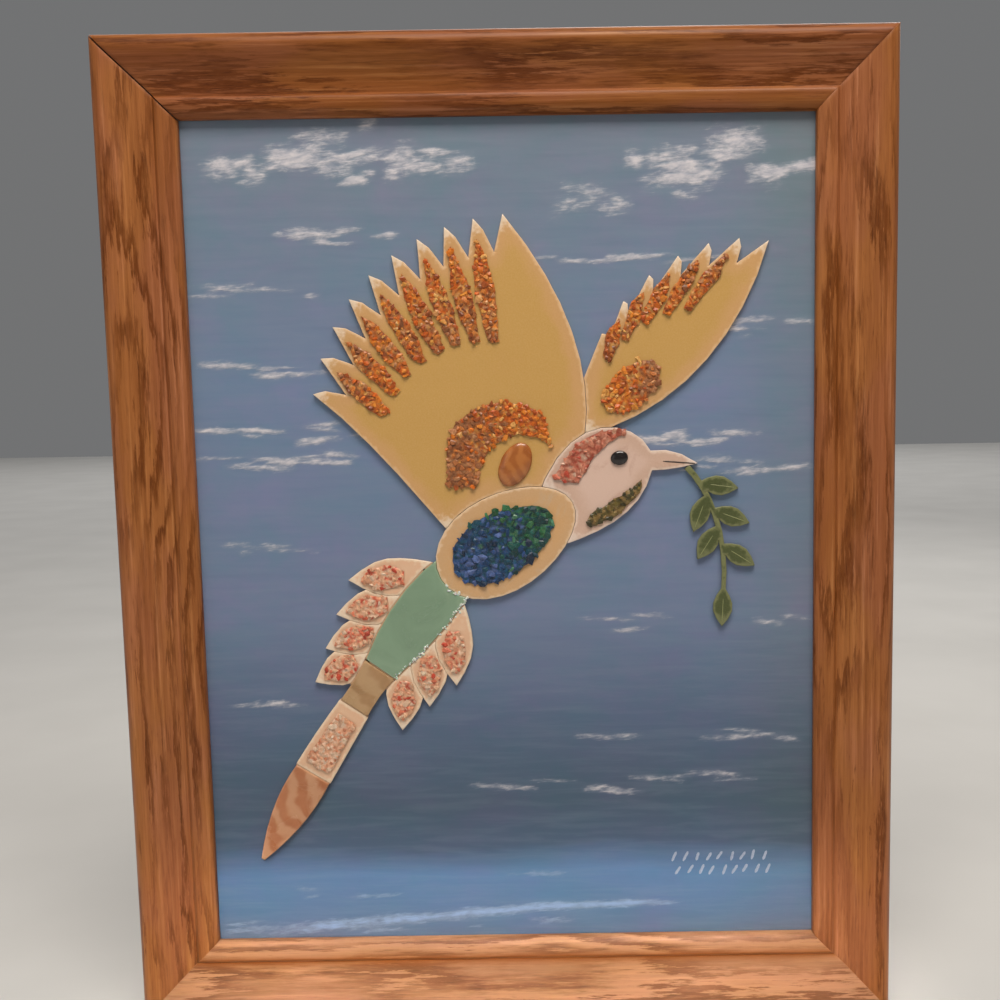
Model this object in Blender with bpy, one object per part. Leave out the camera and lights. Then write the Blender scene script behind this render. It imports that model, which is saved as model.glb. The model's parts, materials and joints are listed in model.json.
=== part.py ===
"""Framed collage: an oak frame round a painted board that carries a bird in cut plates and crushed stone.

Metres, +Z up. The picture faces -Y. The origin is on the back of the frame's top rail, at the middle of
its length, where the frame lies against a wall.
"""

import math
import random

import bmesh
import bpy
from mathutils import Vector
from mathutils.geometry import delaunay_2d_cdt

# Board, and how it sits in the frame
BOARD_WIDTH = 0.3048
BOARD_HEIGHT = 0.4064
BOARD_THICKNESS = 0.0032
BOARD_PLAY = 0.0016
CONTACT_GAP = 0.0003

# Frame moulding, seen in section
RAIL_FACE = 0.0381
RAIL_DEPTH = 0.0190
REBATE_DEPTH = 0.0095
LIP_WIDTH = 0.0060
LIP_EDGE = 0.0018
SHOULDER_WIDTH = 0.0065
SHOULDER_DROP = 0.0075
COVE_DROP = 0.0052
COVE_SKEW = 0.95
QUIRK_WIDTH = 0.0006
QUIRK_RISE = 0.0010
BEAD_WIDTH = 0.0095
BEAD_CREST = 0.0024
BEAD_RISE = 0.0008

# Mitres: three are tight and one has opened
OPEN_JOINT_GAP = 0.0012

# Figure: its plates, stones and chip beds
FIGURE_SIDE_MARGIN = 0.0220
FIGURE_END_MARGIN = 0.0400
PLATE_THICKNESS = 0.0020
SLAB_THICKNESS = 0.0025
SLAB_EDGE_RADIUS = 0.0005
BED_HEIGHT = 0.0019
BED_RIM_HEIGHT = 0.0012
BED_ROUGHNESS = 0.25
CHIP_SPACING = 0.0033
CHIP_JITTER = 0.0006
AGATE_HEIGHT = 0.0020
EYE_HEIGHT = 0.0014

# The figure's places are hundredths of its height, measured from the middle of its body
FIGURE_SPAN = 81.0
FIGURE_RISE = 100.6
BODY_ANGLE = 30.0

rebate_width = BOARD_WIDTH + 2 * BOARD_PLAY
rebate_height = BOARD_HEIGHT + 2 * BOARD_PLAY
sight_width = rebate_width - 2 * LIP_WIDTH
sight_height = rebate_height - 2 * LIP_WIDTH
frame_width = sight_width + 2 * RAIL_FACE
frame_height = sight_height + 2 * RAIL_FACE
back_face = RAIL_FACE - LIP_WIDTH
board_front = REBATE_DEPTH - CONTACT_GAP
unit = min(
    (sight_width - 2 * FIGURE_SIDE_MARGIN) / FIGURE_SPAN,
    (sight_height - 2 * FIGURE_END_MARGIN) / FIGURE_RISE,
)


# Scene set-up


def clear_scene():
    for item in list(bpy.data.objects):
        bpy.data.objects.remove(item)


def new_collection(name):
    collection = bpy.data.collections.new(name)
    bpy.context.scene.collection.children.link(collection)
    return collection


def finish(name, colour, roughness, metallic=0.0):
    material = bpy.data.materials.new(name)
    material.use_nodes = True
    shader = material.node_tree.nodes["Principled BSDF"]
    shader.inputs["Base Color"].default_value = (*colour, 1.0)
    shader.inputs["Roughness"].default_value = roughness
    shader.inputs["Metallic"].default_value = metallic
    return material


def new_empty(name, location, rotation, parent=None):
    empty = bpy.data.objects.new(name, None)
    empty.location = location
    empty.rotation_euler = rotation
    empty.parent = parent
    parts.objects.link(empty)
    return empty


def new_object(name, mesh, material, parent, collection=None):
    item = bpy.data.objects.new(name, mesh)
    item.parent = parent
    if material:
        mesh.materials.append(material)
    (collection or parts).objects.link(item)
    return item


# Plane geometry, in the picture's own plane


def bezier(controls, count):
    """Points along a Bezier curve of any degree, both ends included."""
    points = []
    for step in range(count):
        level = list(controls)
        t = step / (count - 1)
        while len(level) > 1:
            level = [toward(a, b, t) for a, b in zip(level, level[1:])]
        points.append(level[0])
    return points


def toward(start, end, share):
    return (start[0] + (end[0] - start[0]) * share, start[1] + (end[1] - start[1]) * share)


def heading(angle_deg, length=1.0):
    angle = math.radians(angle_deg)
    return (math.cos(angle) * length, math.sin(angle) * length)


def moved(point, step, times=1.0):
    return (point[0] + step[0] * times, point[1] + step[1] * times)


def direction(start, end):
    length = math.dist(start, end)
    return ((end[0] - start[0]) / length, (end[1] - start[1]) / length)


def left_of(step):
    return (-step[1], step[0])


def scaled(points):
    """From hundredths of the figure's height to metres."""
    return [(x * unit, y * unit) for x, y in points]


def oval(centre, half_length, half_width, angle_deg, count, egg=0.0):
    along = heading(angle_deg)
    across = left_of(along)
    points = []
    for step in range(count):
        turn = 2 * math.pi * step / count
        wide = half_width * (1 + egg * math.cos(turn)) * math.sin(turn)
        points.append(moved(moved(centre, along, half_length * math.cos(turn)), across, wide))
    return points


def leaf(base, tip, half_width, count, widest=0.5, blunt=0.5):
    """A leaf or feather outline: its point at tip, its foot a blunt share of the widest place."""
    along = direction(base, tip)
    across = left_of(along)
    length = math.dist(base, tip)
    left = []
    right = []
    for step in range(count):
        t = step / (count - 1)
        rise = math.sin(math.pi / 2 * min(t / widest, 1.0))
        fall = math.cos(math.pi / 2 * max((t - widest) / (1 - widest), 0.0))
        half = half_width * (blunt + (1 - blunt) * rise) * fall
        spot = moved(base, along, t * length)
        left.append(moved(spot, across, half))
        right.append(moved(spot, across, -half))
    return right + left[-2::-1]


def band(centre_line, half_widths):
    """The outline of a strip along a line, with a half-width that runs smoothly through the values."""
    count = len(centre_line)
    widths = bezier([(0.0, width) for width in half_widths], count)
    left = []
    right = []
    for step, spot in enumerate(centre_line):
        before = centre_line[max(step - 1, 0)]
        after = centre_line[min(step + 1, count - 1)]
        across = left_of(direction(before, after))
        left.append(moved(spot, across, widths[step][1]))
        right.append(moved(spot, across, -widths[step][1]))
    return right + left[::-1]


def saw_edge(tips, focus, depth):
    """A trailing edge: pointed feather tips, each with a notch and a rounded back behind it."""
    points = [tips[0]]
    for here, after in zip(tips, tips[1:]):
        middle = toward(here, after, 0.42)
        inward = direction(middle, focus)
        notch = moved(middle, inward, depth)
        points.append(notch)
        points.append(moved(toward(notch, after, 0.5), inward, -0.16 * depth))
        points.append(after)
    return points


def area_sign(outline):
    following = outline[1:] + outline[:1]
    return math.copysign(1.0, sum(a[0] * b[1] - b[0] * a[1] for a, b in zip(outline, following)))


def grown(outline, distance):
    """The outline pushed outwards everywhere by a distance, with long points kept short."""
    side = area_sign(outline)
    count = len(outline)
    points = []
    for index, spot in enumerate(outline):
        into = direction(outline[index - 1], spot)
        out = direction(spot, outline[(index + 1) % count])
        normal_in = (into[1] * side, -into[0] * side)
        normal_out = (out[1] * side, -out[0] * side)
        middle = (normal_in[0] + normal_out[0], normal_in[1] + normal_out[1])
        spread = max(middle[0] ** 2 + middle[1] ** 2, 0.5)
        points.append(moved(spot, middle, 2 * distance / spread))
    return points


def inside(point, outline):
    hit = False
    for a, b in zip(outline, outline[1:] + outline[:1]):
        if (a[1] > point[1]) != (b[1] > point[1]):
            if point[0] < a[0] + (point[1] - a[1]) / (b[1] - a[1]) * (b[0] - a[0]):
                hit = not hit
    return hit


def edge_distance(point, outline):
    nearest = math.inf
    for a, b in zip(outline, outline[1:] + outline[:1]):
        length_squared = (b[0] - a[0]) ** 2 + (b[1] - a[1]) ** 2
        share = ((point[0] - a[0]) * (b[0] - a[0]) + (point[1] - a[1]) * (b[1] - a[1])) / length_squared
        nearest = min(nearest, math.dist(point, toward(a, b, min(max(share, 0.0), 1.0))))
    return nearest


# Frame


def rail_profile():
    """The moulding's section: distance in from the outer side, and distance forward of the back."""
    bead_start = RAIL_FACE - BEAD_WIDTH
    cove_end = bead_start - QUIRK_WIDTH
    cove_low = RAIL_DEPTH - COVE_DROP
    points = [(0.0, 0.0)]
    for step in range(6):
        turn = math.pi / 2 * step / 5
        inward = SHOULDER_WIDTH * (1 - math.cos(turn))
        points.append((inward, RAIL_DEPTH - SHOULDER_DROP * (1 - math.sin(turn))))
    for step in range(1, 9):
        share = step / 8
        inward = SHOULDER_WIDTH + (cove_end - SHOULDER_WIDTH) * share
        fall = (1 - math.cos(math.pi * share**COVE_SKEW)) / 2
        points.append((inward, RAIL_DEPTH - COVE_DROP * fall))
    bead_foot = cove_low + QUIRK_RISE
    bead_top = bead_foot + BEAD_RISE
    for step in range(3):
        turn = math.pi / 2 * step / 3
        inward = bead_start + BEAD_CREST * (1 - math.cos(turn))
        points.append((inward, bead_foot + BEAD_RISE * math.sin(turn)))
    sight_front = REBATE_DEPTH + LIP_EDGE
    for step in range(7):
        turn = math.pi / 2 * step / 6
        inward = bead_start + BEAD_CREST + (BEAD_WIDTH - BEAD_CREST) * math.sin(turn)
        points.append((inward, sight_front + (bead_top - sight_front) * math.cos(turn)))
    points.append((RAIL_FACE, REBATE_DEPTH))
    points.append((RAIL_FACE - LIP_WIDTH, REBATE_DEPTH))
    points.append((RAIL_FACE - LIP_WIDTH, 0.0))
    return points


def rail(name, length, turn_deg, place, start_gap, end_gap):
    """One mitred rail, run along its own X with its outer edge on Y = 0 and its inner side towards -Y."""
    mesh_data = bmesh.new()
    start_x = -length / 2 + start_gap / math.sqrt(2)
    end_x = length / 2 - end_gap / math.sqrt(2)
    section = [mesh_data.verts.new((start_x + s, -s, d)) for s, d in rail_profile()]
    end_face = mesh_data.faces.new(section)
    extruded = bmesh.ops.extrude_face_region(mesh_data, geom=[end_face])
    for vertex in (item for item in extruded["geom"] if isinstance(item, bmesh.types.BMVert)):
        vertex.co.x = end_x + vertex.co.y
    bmesh.ops.recalc_face_normals(mesh_data, faces=mesh_data.faces)
    if mesh_data.calc_volume(signed=True) < 0:
        bmesh.ops.reverse_faces(mesh_data, faces=mesh_data.faces)
    mesh = bpy.data.meshes.new(name)
    mesh_data.to_mesh(mesh)
    mesh_data.free()
    mesh.shade_smooth()
    mesh.set_sharp_from_angle(angle=math.radians(30))
    item = new_object(name, mesh, oak, picture)
    item.location = place
    item.rotation_euler = (0.0, 0.0, math.radians(turn_deg))
    return item


def make_frame():
    half_w = frame_width / 2
    half_h = frame_height / 2
    corners = {
        "top_left": OPEN_JOINT_GAP,
        "top_right": CONTACT_GAP,
        "bottom_right": CONTACT_GAP,
        "bottom_left": CONTACT_GAP,
    }
    rows = (
        ("rail_top", frame_width, 0, (0, half_h, 0), "top_left", "top_right"),
        ("rail_right", frame_height, -90, (half_w, 0, 0), "top_right", "bottom_right"),
        ("rail_bottom", frame_width, 180, (0, -half_h, 0), "bottom_right", "bottom_left"),
        ("rail_left", frame_height, 90, (-half_w, 0, 0), "bottom_left", "top_left"),
    )
    for name, length, turn, place, start, end in rows:
        rail(name, length, turn, place, corners[start], corners[end])


def make_board():
    mesh_data = bmesh.new()
    bmesh.ops.create_cube(mesh_data, size=1.0)
    bmesh.ops.scale(mesh_data, vec=(BOARD_WIDTH, BOARD_HEIGHT, BOARD_THICKNESS), verts=mesh_data.verts)
    mesh = bpy.data.meshes.new("picture_board")
    mesh_data.to_mesh(mesh)
    mesh_data.free()
    board = new_object("picture_board", mesh, paint, picture)
    board.location = (0.0, 0.0, board_front - BOARD_THICKNESS / 2)


# Solids of the figure, in the figure's own frame: X and Y in the picture, Z out of it


def flat_solid(name, outline, back, thickness, material, collection=None, edge_radius=0.0):
    """A flat cut piece: a filled 2D curve, turned into a welded mesh so that it can be trimmed."""
    curve = bpy.data.curves.new(name, "CURVE")
    curve.dimensions = "2D"
    curve.fill_mode = "BOTH"
    curve.extrude = thickness / 2 - edge_radius
    curve.bevel_depth = edge_radius
    curve.bevel_resolution = 1
    curve.offset = -edge_radius
    spline = curve.splines.new("POLY")
    spline.points.add(len(outline) - 1)
    for point, (x, y) in zip(spline.points, outline):
        point.co = (x, y, 0.0, 1.0)
    spline.use_cyclic_u = True
    drawn = bpy.data.objects.new(name + "_outline", curve)
    parts.objects.link(drawn)
    seen = drawn.evaluated_get(bpy.context.evaluated_depsgraph_get())
    mesh = bpy.data.meshes.new_from_object(seen)
    bpy.data.objects.remove(drawn)
    mesh.name = name
    mesh.materials.clear()
    mesh_data = bmesh.new()
    mesh_data.from_mesh(mesh)
    bmesh.ops.remove_doubles(mesh_data, verts=mesh_data.verts, dist=1e-6)
    bmesh.ops.dissolve_limit(
        mesh_data, angle_limit=math.radians(0.5), verts=mesh_data.verts, edges=mesh_data.edges
    )
    bmesh.ops.recalc_face_normals(mesh_data, faces=mesh_data.faces)
    mesh_data.to_mesh(mesh)
    mesh_data.free()
    item = new_object(name, mesh, material, figure, collection)
    item.location = (0.0, 0.0, back + thickness / 2)
    return item


def apply_shape(item, tool, operation):
    """Joins a hidden solid to a piece, or cuts it out."""
    tool.hide_render = True
    tool.display_type = "WIRE"
    boolean = item.modifiers.new(tool.name, "BOOLEAN")
    boolean.operation = operation
    boolean.solver = "EXACT"
    boolean.object = tool


def trim(item, *outlines):
    """Cuts each neighbour's outline, grown by the contact gap, out of a plate."""
    reach = PLATE_THICKNESS + SLAB_THICKNESS
    for number, outline in enumerate(outlines):
        name = f"{item.name}_cutter_{number}"
        cutter = flat_solid(name, grown(outline, CONTACT_GAP), -reach, 3 * reach, None, cutters)
        apply_shape(item, cutter, "DIFFERENCE")


def plate(name, outline, material, *neighbours):
    item = flat_solid(name, outline, 0.0, PLATE_THICKNESS, material)
    trim(item, *neighbours)
    return item


def stone_slab(name, outline, material, *neighbours):
    edge_radius = min(SLAB_EDGE_RADIUS, SLAB_THICKNESS / 3)
    item = flat_solid(name, outline, 0.0, SLAB_THICKNESS, material, edge_radius=edge_radius)
    trim(item, *neighbours)
    return item


def dome(name, centre, half_length, half_width, angle_deg, height, material):
    """A cabochon: the upper half of a flattened sphere, on a plate."""
    mesh_data = bmesh.new()
    bmesh.ops.create_uvsphere(mesh_data, u_segments=16, v_segments=8, radius=1.0)
    whole = list(mesh_data.verts) + list(mesh_data.edges) + list(mesh_data.faces)
    bmesh.ops.bisect_plane(
        mesh_data, geom=whole, plane_co=(0, 0, 0), plane_no=(0, 0, -1), clear_outer=True
    )
    rim = [edge for edge in mesh_data.edges if edge.is_boundary]
    bmesh.ops.contextual_create(mesh_data, geom=rim)
    bmesh.ops.scale(
        mesh_data, vec=(half_length * unit, half_width * unit, height), verts=mesh_data.verts
    )
    bmesh.ops.recalc_face_normals(mesh_data, faces=mesh_data.faces)
    mesh = bpy.data.meshes.new(name)
    mesh_data.to_mesh(mesh)
    mesh_data.free()
    mesh.shade_smooth()
    mesh.set_sharp_from_angle(angle=math.radians(50))
    item = new_object(name, mesh, material, figure)
    item.location = (centre[0] * unit, centre[1] * unit, PLATE_THICKNESS + CONTACT_GAP)
    item.rotation_euler = (0.0, 0.0, math.radians(angle_deg))
    return item


def broken_edge(outline, chance):
    """The outline walked in chip-long steps, each point pushed in or out as chips leave it."""
    lengths = [math.dist(a, b) for a, b in zip(outline, outline[1:] + outline[:1])]
    total = sum(lengths)
    count = max(8, round(total / CHIP_SPACING))
    points = []
    for step in range(count):
        distance = total * step / count
        index = 0
        while distance > lengths[index]:
            distance -= lengths[index]
            index += 1
        a = outline[index]
        b = outline[(index + 1) % len(outline)]
        spot = toward(a, b, distance / lengths[index])
        across = left_of(direction(a, b))
        points.append(moved(spot, across, chance.uniform(-CHIP_JITTER, CHIP_JITTER)))
    return points


def chip_bed(name, outline, material):
    """Crushed stone set in glue: one body with a flat back, a broken outline and a lumpy faceted top."""
    chance = random.Random(name)
    rim = broken_edge(outline, chance)
    xs = [point[0] for point in rim]
    ys = [point[1] for point in rim]
    row_height = CHIP_SPACING * math.sqrt(3) / 2
    inner = []
    for row in range(int((max(ys) - min(ys)) / row_height) + 1):
        for column in range(int((max(xs) - min(xs)) / CHIP_SPACING) + 2):
            spot = (
                min(xs) + CHIP_SPACING * (column - 0.5 * (row % 2)) + chance.uniform(-1, 1) * CHIP_JITTER,
                min(ys) + row_height * row + chance.uniform(-1, 1) * CHIP_JITTER,
            )
            if inside(spot, rim) and edge_distance(spot, rim) > CHIP_SPACING / 2:
                inner.append(spot)
    spots = [Vector(point) for point in rim + inner]
    border = [(index, (index + 1) % len(rim)) for index in range(len(rim))]
    flat, _, triangles, _, _, _ = delaunay_2d_cdt(spots, border, [], 1, 1e-7)
    mesh_data = bmesh.new()
    tops = []
    for index, spot in enumerate(flat):
        height = BED_RIM_HEIGHT if index < len(rim) else BED_HEIGHT
        height *= chance.uniform(1 - BED_ROUGHNESS, 1)
        tops.append(mesh_data.verts.new((spot.x, spot.y, height)))
    for triangle in triangles:
        mesh_data.faces.new([tops[index] for index in triangle])
    rim_edges = [edge for edge in mesh_data.edges if edge.is_boundary]
    walls = bmesh.ops.extrude_edge_only(mesh_data, edges=rim_edges)
    feet = [item for item in walls["geom"] if isinstance(item, bmesh.types.BMVert)]
    for vertex in feet:
        vertex.co.z = 0.0
    foot_edges = [edge for edge in mesh_data.edges if edge.is_boundary]
    bmesh.ops.contextual_create(mesh_data, geom=foot_edges)
    bmesh.ops.recalc_face_normals(mesh_data, faces=mesh_data.faces)
    mesh = bpy.data.meshes.new(name)
    mesh_data.to_mesh(mesh)
    mesh_data.free()
    item = new_object(name, mesh, material, figure)
    item.location = (0.0, 0.0, PLATE_THICKNESS + CONTACT_GAP)
    return item


# The figure's outlines, in hundredths of its height

body_outline = oval((0, 0), 11.8, 7.4, BODY_ANGLE, 28, egg=-0.12)
beak_tip = (29.6, 11.6)
crown = bezier([(4.5, 5.5), (8.0, 15.5), (13.0, 19.6), (20.5, 18.0), (22.4, 13.6)], 10)
beak_top = bezier([(22.4, 13.6), (26.0, 14.2), beak_tip], 4)
beak_low = bezier([beak_tip, (26.0, 10.6), (22.6, 10.6)], 4)
throat = bezier([(22.6, 10.6), (21.0, 4.5), (16.0, 1.5), (8.0, -1.0)], 8)
head_outline = crown + beak_top[1:] + beak_low[1:] + throat[1:] + [(3.0, 1.0)]

near_focus = (3.0, 2.0)
near_lead = bezier([(8.6, 6.0), (15.5, 17.0), (14.0, 33.0), (0.5, 49.5)], 12)
near_tips = bezier([(0.5, 49.5), (-13.0, 48.5), (-26.0, 40.0), (-29.0, 23.0)], 10)
near_inner = bezier([(-29.0, 23.0), (-22.0, 17.5), (-15.0, 9.0), (-8.0, 0.5)], 6)
near_outline = near_lead + saw_edge(near_tips, near_focus, 5.4)[1:] + near_inner[1:]

far_focus = (12.0, 14.0)
far_lead = bezier([(12.0, 16.0), (25.0, 19.0), (36.0, 29.0), (40.5, 45.0)], 10)
far_tips = bezier([(40.5, 45.0), (32.0, 47.0), (21.0, 42.0), (15.2, 31.5)], 7)
far_outline = far_lead + saw_edge(far_tips, far_focus, 4.6)[1:] + [(12.0, 24.0)]

tail_line = bezier([(-7.0, -4.0), (-17.0, -14.0), (-27.0, -29.0), (-40.0, -50.6)], 61)
slab_outline = band(tail_line[1:27:5], (3.6, 4.8, 4.6, 2.8))
khaki_outline = band(tail_line[26:35:2], (2.8, 2.3, 2.6))
speckled_outline = band(tail_line[34:47:3], (2.6, 3.0, 3.1))
tip_outline = band(tail_line[46:61:2], (3.1, 3.6, 2.7, 0.4))


def make_body_and_head():
    plate("body_plate", scaled(body_outline), cream)
    chip_bed("body_chips", scaled(oval((-0.5, -0.3), 8.8, 5.0, BODY_ANGLE, 24, egg=-0.15)), blue_stone)
    plate("head_plate", scaled(head_outline), bone, scaled(body_outline))
    nape = bezier([(7.4, 9.4), (9.5, 14.6), (13.6, 17.6), (18.6, 17.2)], 9)
    nape += bezier([(18.6, 16.0), (15.0, 15.0), (12.6, 11.6), (11.4, 8.6)], 9)
    chip_bed("nape_chips", scaled(nape), pink_stone)
    bib = bezier([(21.2, 8.2), (19.5, 4.6), (15.5, 2.6), (12.4, 1.8)], 8)
    bib += bezier([(12.6, 4.0), (15.6, 5.4), (18.6, 7.2), (21.0, 9.4)], 7)
    chip_bed("throat_chips", scaled(bib), olive_stone)
    dome("eye_bead", (17.6, 12.6), 1.35, 1.1, 10, EYE_HEIGHT, jet)


def feather_beds(wing, tips, focus, inset, longest, shrink, half_width):
    """A long bed along each feather, from just inside its tip towards the wing's root."""
    for number, tip in enumerate(tips[1:-1]):
        inward = direction(tip, focus)
        outer = moved(tip, inward, inset)
        inner = moved(outer, inward, longest - shrink * number)
        outline = leaf(inner, outer, half_width, 6)
        chip_bed(f"{wing}_feather_chips_{number + 1}", scaled(outline), amber_stone)


def make_wings():
    body = scaled(body_outline)
    head = scaled(head_outline)
    lead_wedge = scaled(near_lead + [near_focus])
    plate("near_wing_plate", scaled(near_outline), tan, body, head)
    plate("far_wing_plate", scaled(far_outline), tan, head, lead_wedge)
    shoulder = bezier([(-8.6, 8.6), (-11.5, 19.5), (-2.0, 24.5), (6.2, 19.5)], 12)
    shoulder += bezier([(7.4, 14.0), (5.2, 17.2), (-3.6, 18.6), (-4.4, 8.2)], 12)
    chip_bed("near_shoulder_chips", scaled(shoulder), amber_stone)
    dome("wing_agate", (1.6, 11.8), 3.6, 2.3, 62, AGATE_HEIGHT, agate)
    feather_beds("near", near_tips, near_focus, inset=2.7, longest=16.0, shrink=0.8, half_width=1.5)
    far_shoulder = oval((19.6, 23.4), 5.2, 3.0, 40, 16)
    chip_bed("far_shoulder_chips", scaled(far_shoulder), amber_stone)
    feather_beds("far", far_tips, far_focus, inset=2.4, longest=11.0, shrink=1.0, half_width=1.15)


def turned(step, angle_deg, length=1.0):
    """A step in a given direction, turned anticlockwise."""
    return heading(math.degrees(math.atan2(step[1], step[0])) + angle_deg, length)


def tail_feather(side, place, number):
    """One side feather of the tail: its foot on the tail's line, and its tip. Later ones lean in more."""
    spot = tail_line[place]
    along = direction(spot, tail_line[place + 1])
    foot = moved(spot, left_of(along), 1.6 * side)
    return foot, moved(foot, turned(along, side * (44 - 6 * number), 14.5 - 0.7 * number))


def make_tail():
    body = scaled(body_outline)
    slab = scaled(slab_outline)
    khaki = scaled(khaki_outline)
    stone_slab("tail_green_slab", slab, green_stone, body)
    stone_slab("plume_khaki_slab", khaki, khaki_stone, slab)
    plate("plume_speckled_plate", scaled(speckled_outline), cream, khaki)
    chip_bed("plume_chips", scaled(band(tail_line[36:46:3], (1.8, 2.2, 2.2))), pink_stone)
    stone_slab("plume_agate_tip", scaled(tip_outline), agate, scaled(speckled_outline))
    rows = (("left", -1, (4, 10, 16, 22)), ("right", 1, (6, 13, 20)))
    for side_name, side, places in rows:
        above = []
        for number, place in enumerate(places):
            foot, tip = tail_feather(side, place, number)
            outline = scaled(leaf(foot, tip, 2.9, 8, widest=0.55))
            name = f"tail_{side_name}_feather_{number + 1}"
            plate(name, outline, cream, body, slab, khaki, *above)
            bed = leaf(toward(foot, tip, 0.39), toward(foot, tip, 0.90), 1.95, 6)
            chip_bed(name + "_chips", scaled(bed), pink_stone)
            above.append(outline)


def make_twig():
    """A leafy twig held in the beak, cut as one piece."""
    stem = bezier([(28.0, 11.0), (31.0, 8.0), (34.5, 1.0), (33.5, -9.0)], 9)
    outline = scaled(band(stem, (0.45, 0.4, 0.3)))
    twig = flat_solid("twig", outline, 0.0, PLATE_THICKNESS, leaf_green)
    for number, (place, side) in enumerate(((2, 1), (3, -1), (4, 1), (5, -1), (6, 1), (8, 0))):
        foot = toward(stem[place - 1], stem[place], 0.7)
        step = turned(direction(stem[place - 1], stem[place]), 48 * side, 6.0)
        blade = leaf(foot, moved(foot, step), 1.5, 6, blunt=0.15)
        part = flat_solid(f"twig_leaf_{number}", scaled(blade), 0.0, PLATE_THICKNESS, None, cutters)
        apply_shape(twig, part, "UNION")
    trim(twig, scaled(head_outline))


clear_scene()
parts = new_collection("framed_collage")
cutters = new_collection("cutters")

oak = finish("oak", (0.33, 0.15, 0.06), 0.38)
paint = finish("sky_paint", (0.14, 0.21, 0.33), 0.55)
cream = finish("cream_plate", (0.66, 0.52, 0.36), 0.42)
bone = finish("bone_plate", (0.74, 0.72, 0.68), 0.35)
tan = finish("tan_plate", (0.55, 0.38, 0.14), 0.4)
blue_stone = finish("blue_stone", (0.03, 0.13, 0.25), 0.25)
pink_stone = finish("pink_stone", (0.6, 0.27, 0.22), 0.3)
olive_stone = finish("olive_stone", (0.2, 0.22, 0.08), 0.35)
amber_stone = finish("amber_stone", (0.45, 0.18, 0.04), 0.25)
green_stone = finish("green_stone", (0.18, 0.34, 0.2), 0.22)
khaki_stone = finish("khaki_stone", (0.32, 0.24, 0.12), 0.25)
agate = finish("agate", (0.42, 0.19, 0.07), 0.18)
leaf_green = finish("leaf_green", (0.12, 0.18, 0.07), 0.4)
jet = finish("jet", (0.01, 0.01, 0.01), 0.12)

# Both empties lie in the picture's plane: X right, Y up, Z out of the picture
centre_height = back_face / 2 - frame_height / 2
picture = new_empty("picture", (0.0, 0.0, centre_height), (math.pi / 2, 0.0, 0.0))
figure = new_empty("figure", (0.0, 0.0, board_front + CONTACT_GAP), (0.0, 0.0, 0.0), picture)

make_frame()
make_board()
make_body_and_head()
make_wings()
make_tail()
make_twig()
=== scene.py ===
"""Looks of the framed collage: oak moulding, painted sky board, cut plates and crushed stone.

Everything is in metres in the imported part's frame. The picture faces -Y, and the frame's top edge is near
Z = 0. Places in the picture are (x, z), and a piece's relief is how far it stands towards -Y. Outlines are
lists of places, anticlockwise.
"""

import json
import math
import random

import bmesh
import bpy
import numpy as np
from mathutils import Matrix, Vector, noise
from mathutils.geometry import delaunay_2d_cdt

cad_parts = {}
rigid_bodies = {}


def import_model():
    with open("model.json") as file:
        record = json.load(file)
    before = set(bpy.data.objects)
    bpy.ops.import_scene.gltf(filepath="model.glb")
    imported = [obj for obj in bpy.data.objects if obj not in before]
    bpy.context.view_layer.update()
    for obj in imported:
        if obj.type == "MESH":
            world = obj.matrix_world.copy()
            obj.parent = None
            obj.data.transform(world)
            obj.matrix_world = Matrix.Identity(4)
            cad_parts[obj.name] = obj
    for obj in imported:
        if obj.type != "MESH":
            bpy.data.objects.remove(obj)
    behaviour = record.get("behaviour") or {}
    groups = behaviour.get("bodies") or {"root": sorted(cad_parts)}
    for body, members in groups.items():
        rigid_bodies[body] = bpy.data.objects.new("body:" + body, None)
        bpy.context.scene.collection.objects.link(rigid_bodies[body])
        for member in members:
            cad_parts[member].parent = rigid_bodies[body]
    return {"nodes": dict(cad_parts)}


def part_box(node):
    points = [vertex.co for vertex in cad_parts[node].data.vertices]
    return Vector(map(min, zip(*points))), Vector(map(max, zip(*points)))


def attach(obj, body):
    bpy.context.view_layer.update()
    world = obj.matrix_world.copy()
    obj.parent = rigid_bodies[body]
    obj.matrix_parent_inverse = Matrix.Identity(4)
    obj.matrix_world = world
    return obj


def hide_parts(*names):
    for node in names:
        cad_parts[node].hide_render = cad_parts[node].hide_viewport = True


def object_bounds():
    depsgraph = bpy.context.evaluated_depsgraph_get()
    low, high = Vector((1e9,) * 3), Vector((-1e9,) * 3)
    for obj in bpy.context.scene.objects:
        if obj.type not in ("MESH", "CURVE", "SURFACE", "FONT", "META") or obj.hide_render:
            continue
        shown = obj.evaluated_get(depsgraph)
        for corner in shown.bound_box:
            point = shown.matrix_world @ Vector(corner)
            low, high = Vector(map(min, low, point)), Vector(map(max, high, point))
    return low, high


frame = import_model()
cad_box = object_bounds()
nodes = frame["nodes"]

# Moulding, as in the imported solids, with its cove and quirk cut a little crisper
RAIL_FACE = 0.0381
RAIL_DEPTH = 0.0190
REBATE_DEPTH = 0.0095
LIP_WIDTH = 0.0060
LIP_EDGE = 0.0018
SHOULDER_WIDTH = 0.0062
SHOULDER_DROP = 0.0075
COVE_DROP = 0.0057
COVE_SKEW = 0.75
QUIRK_WIDTH = 0.0012
QUIRK_RISE = 0.0011
BEAD_WIDTH = 0.0095
BEAD_CREST = 0.0024
BEAD_RISE = 0.0008
# Painted shade below the bead: the middle and half width of its band
GROOVE_SHADE_MIDDLE = RAIL_FACE - BEAD_WIDTH - QUIRK_WIDTH + 0.0006
GROOVE_SHADE_HALF = 0.0025

# The rails' rings, mesh and wear: steps along a rail, a short first and last one, arrises, planing and dents
RING_WIDTH = 0.0058
RAIL_STEPS = 200
END_STEP = 0.0006
ARRIS_WEAR = 0.00012
PLANING = 0.00010
DENT_DEPTH = 0.0006
DENT_RARITY = 0.55

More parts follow.
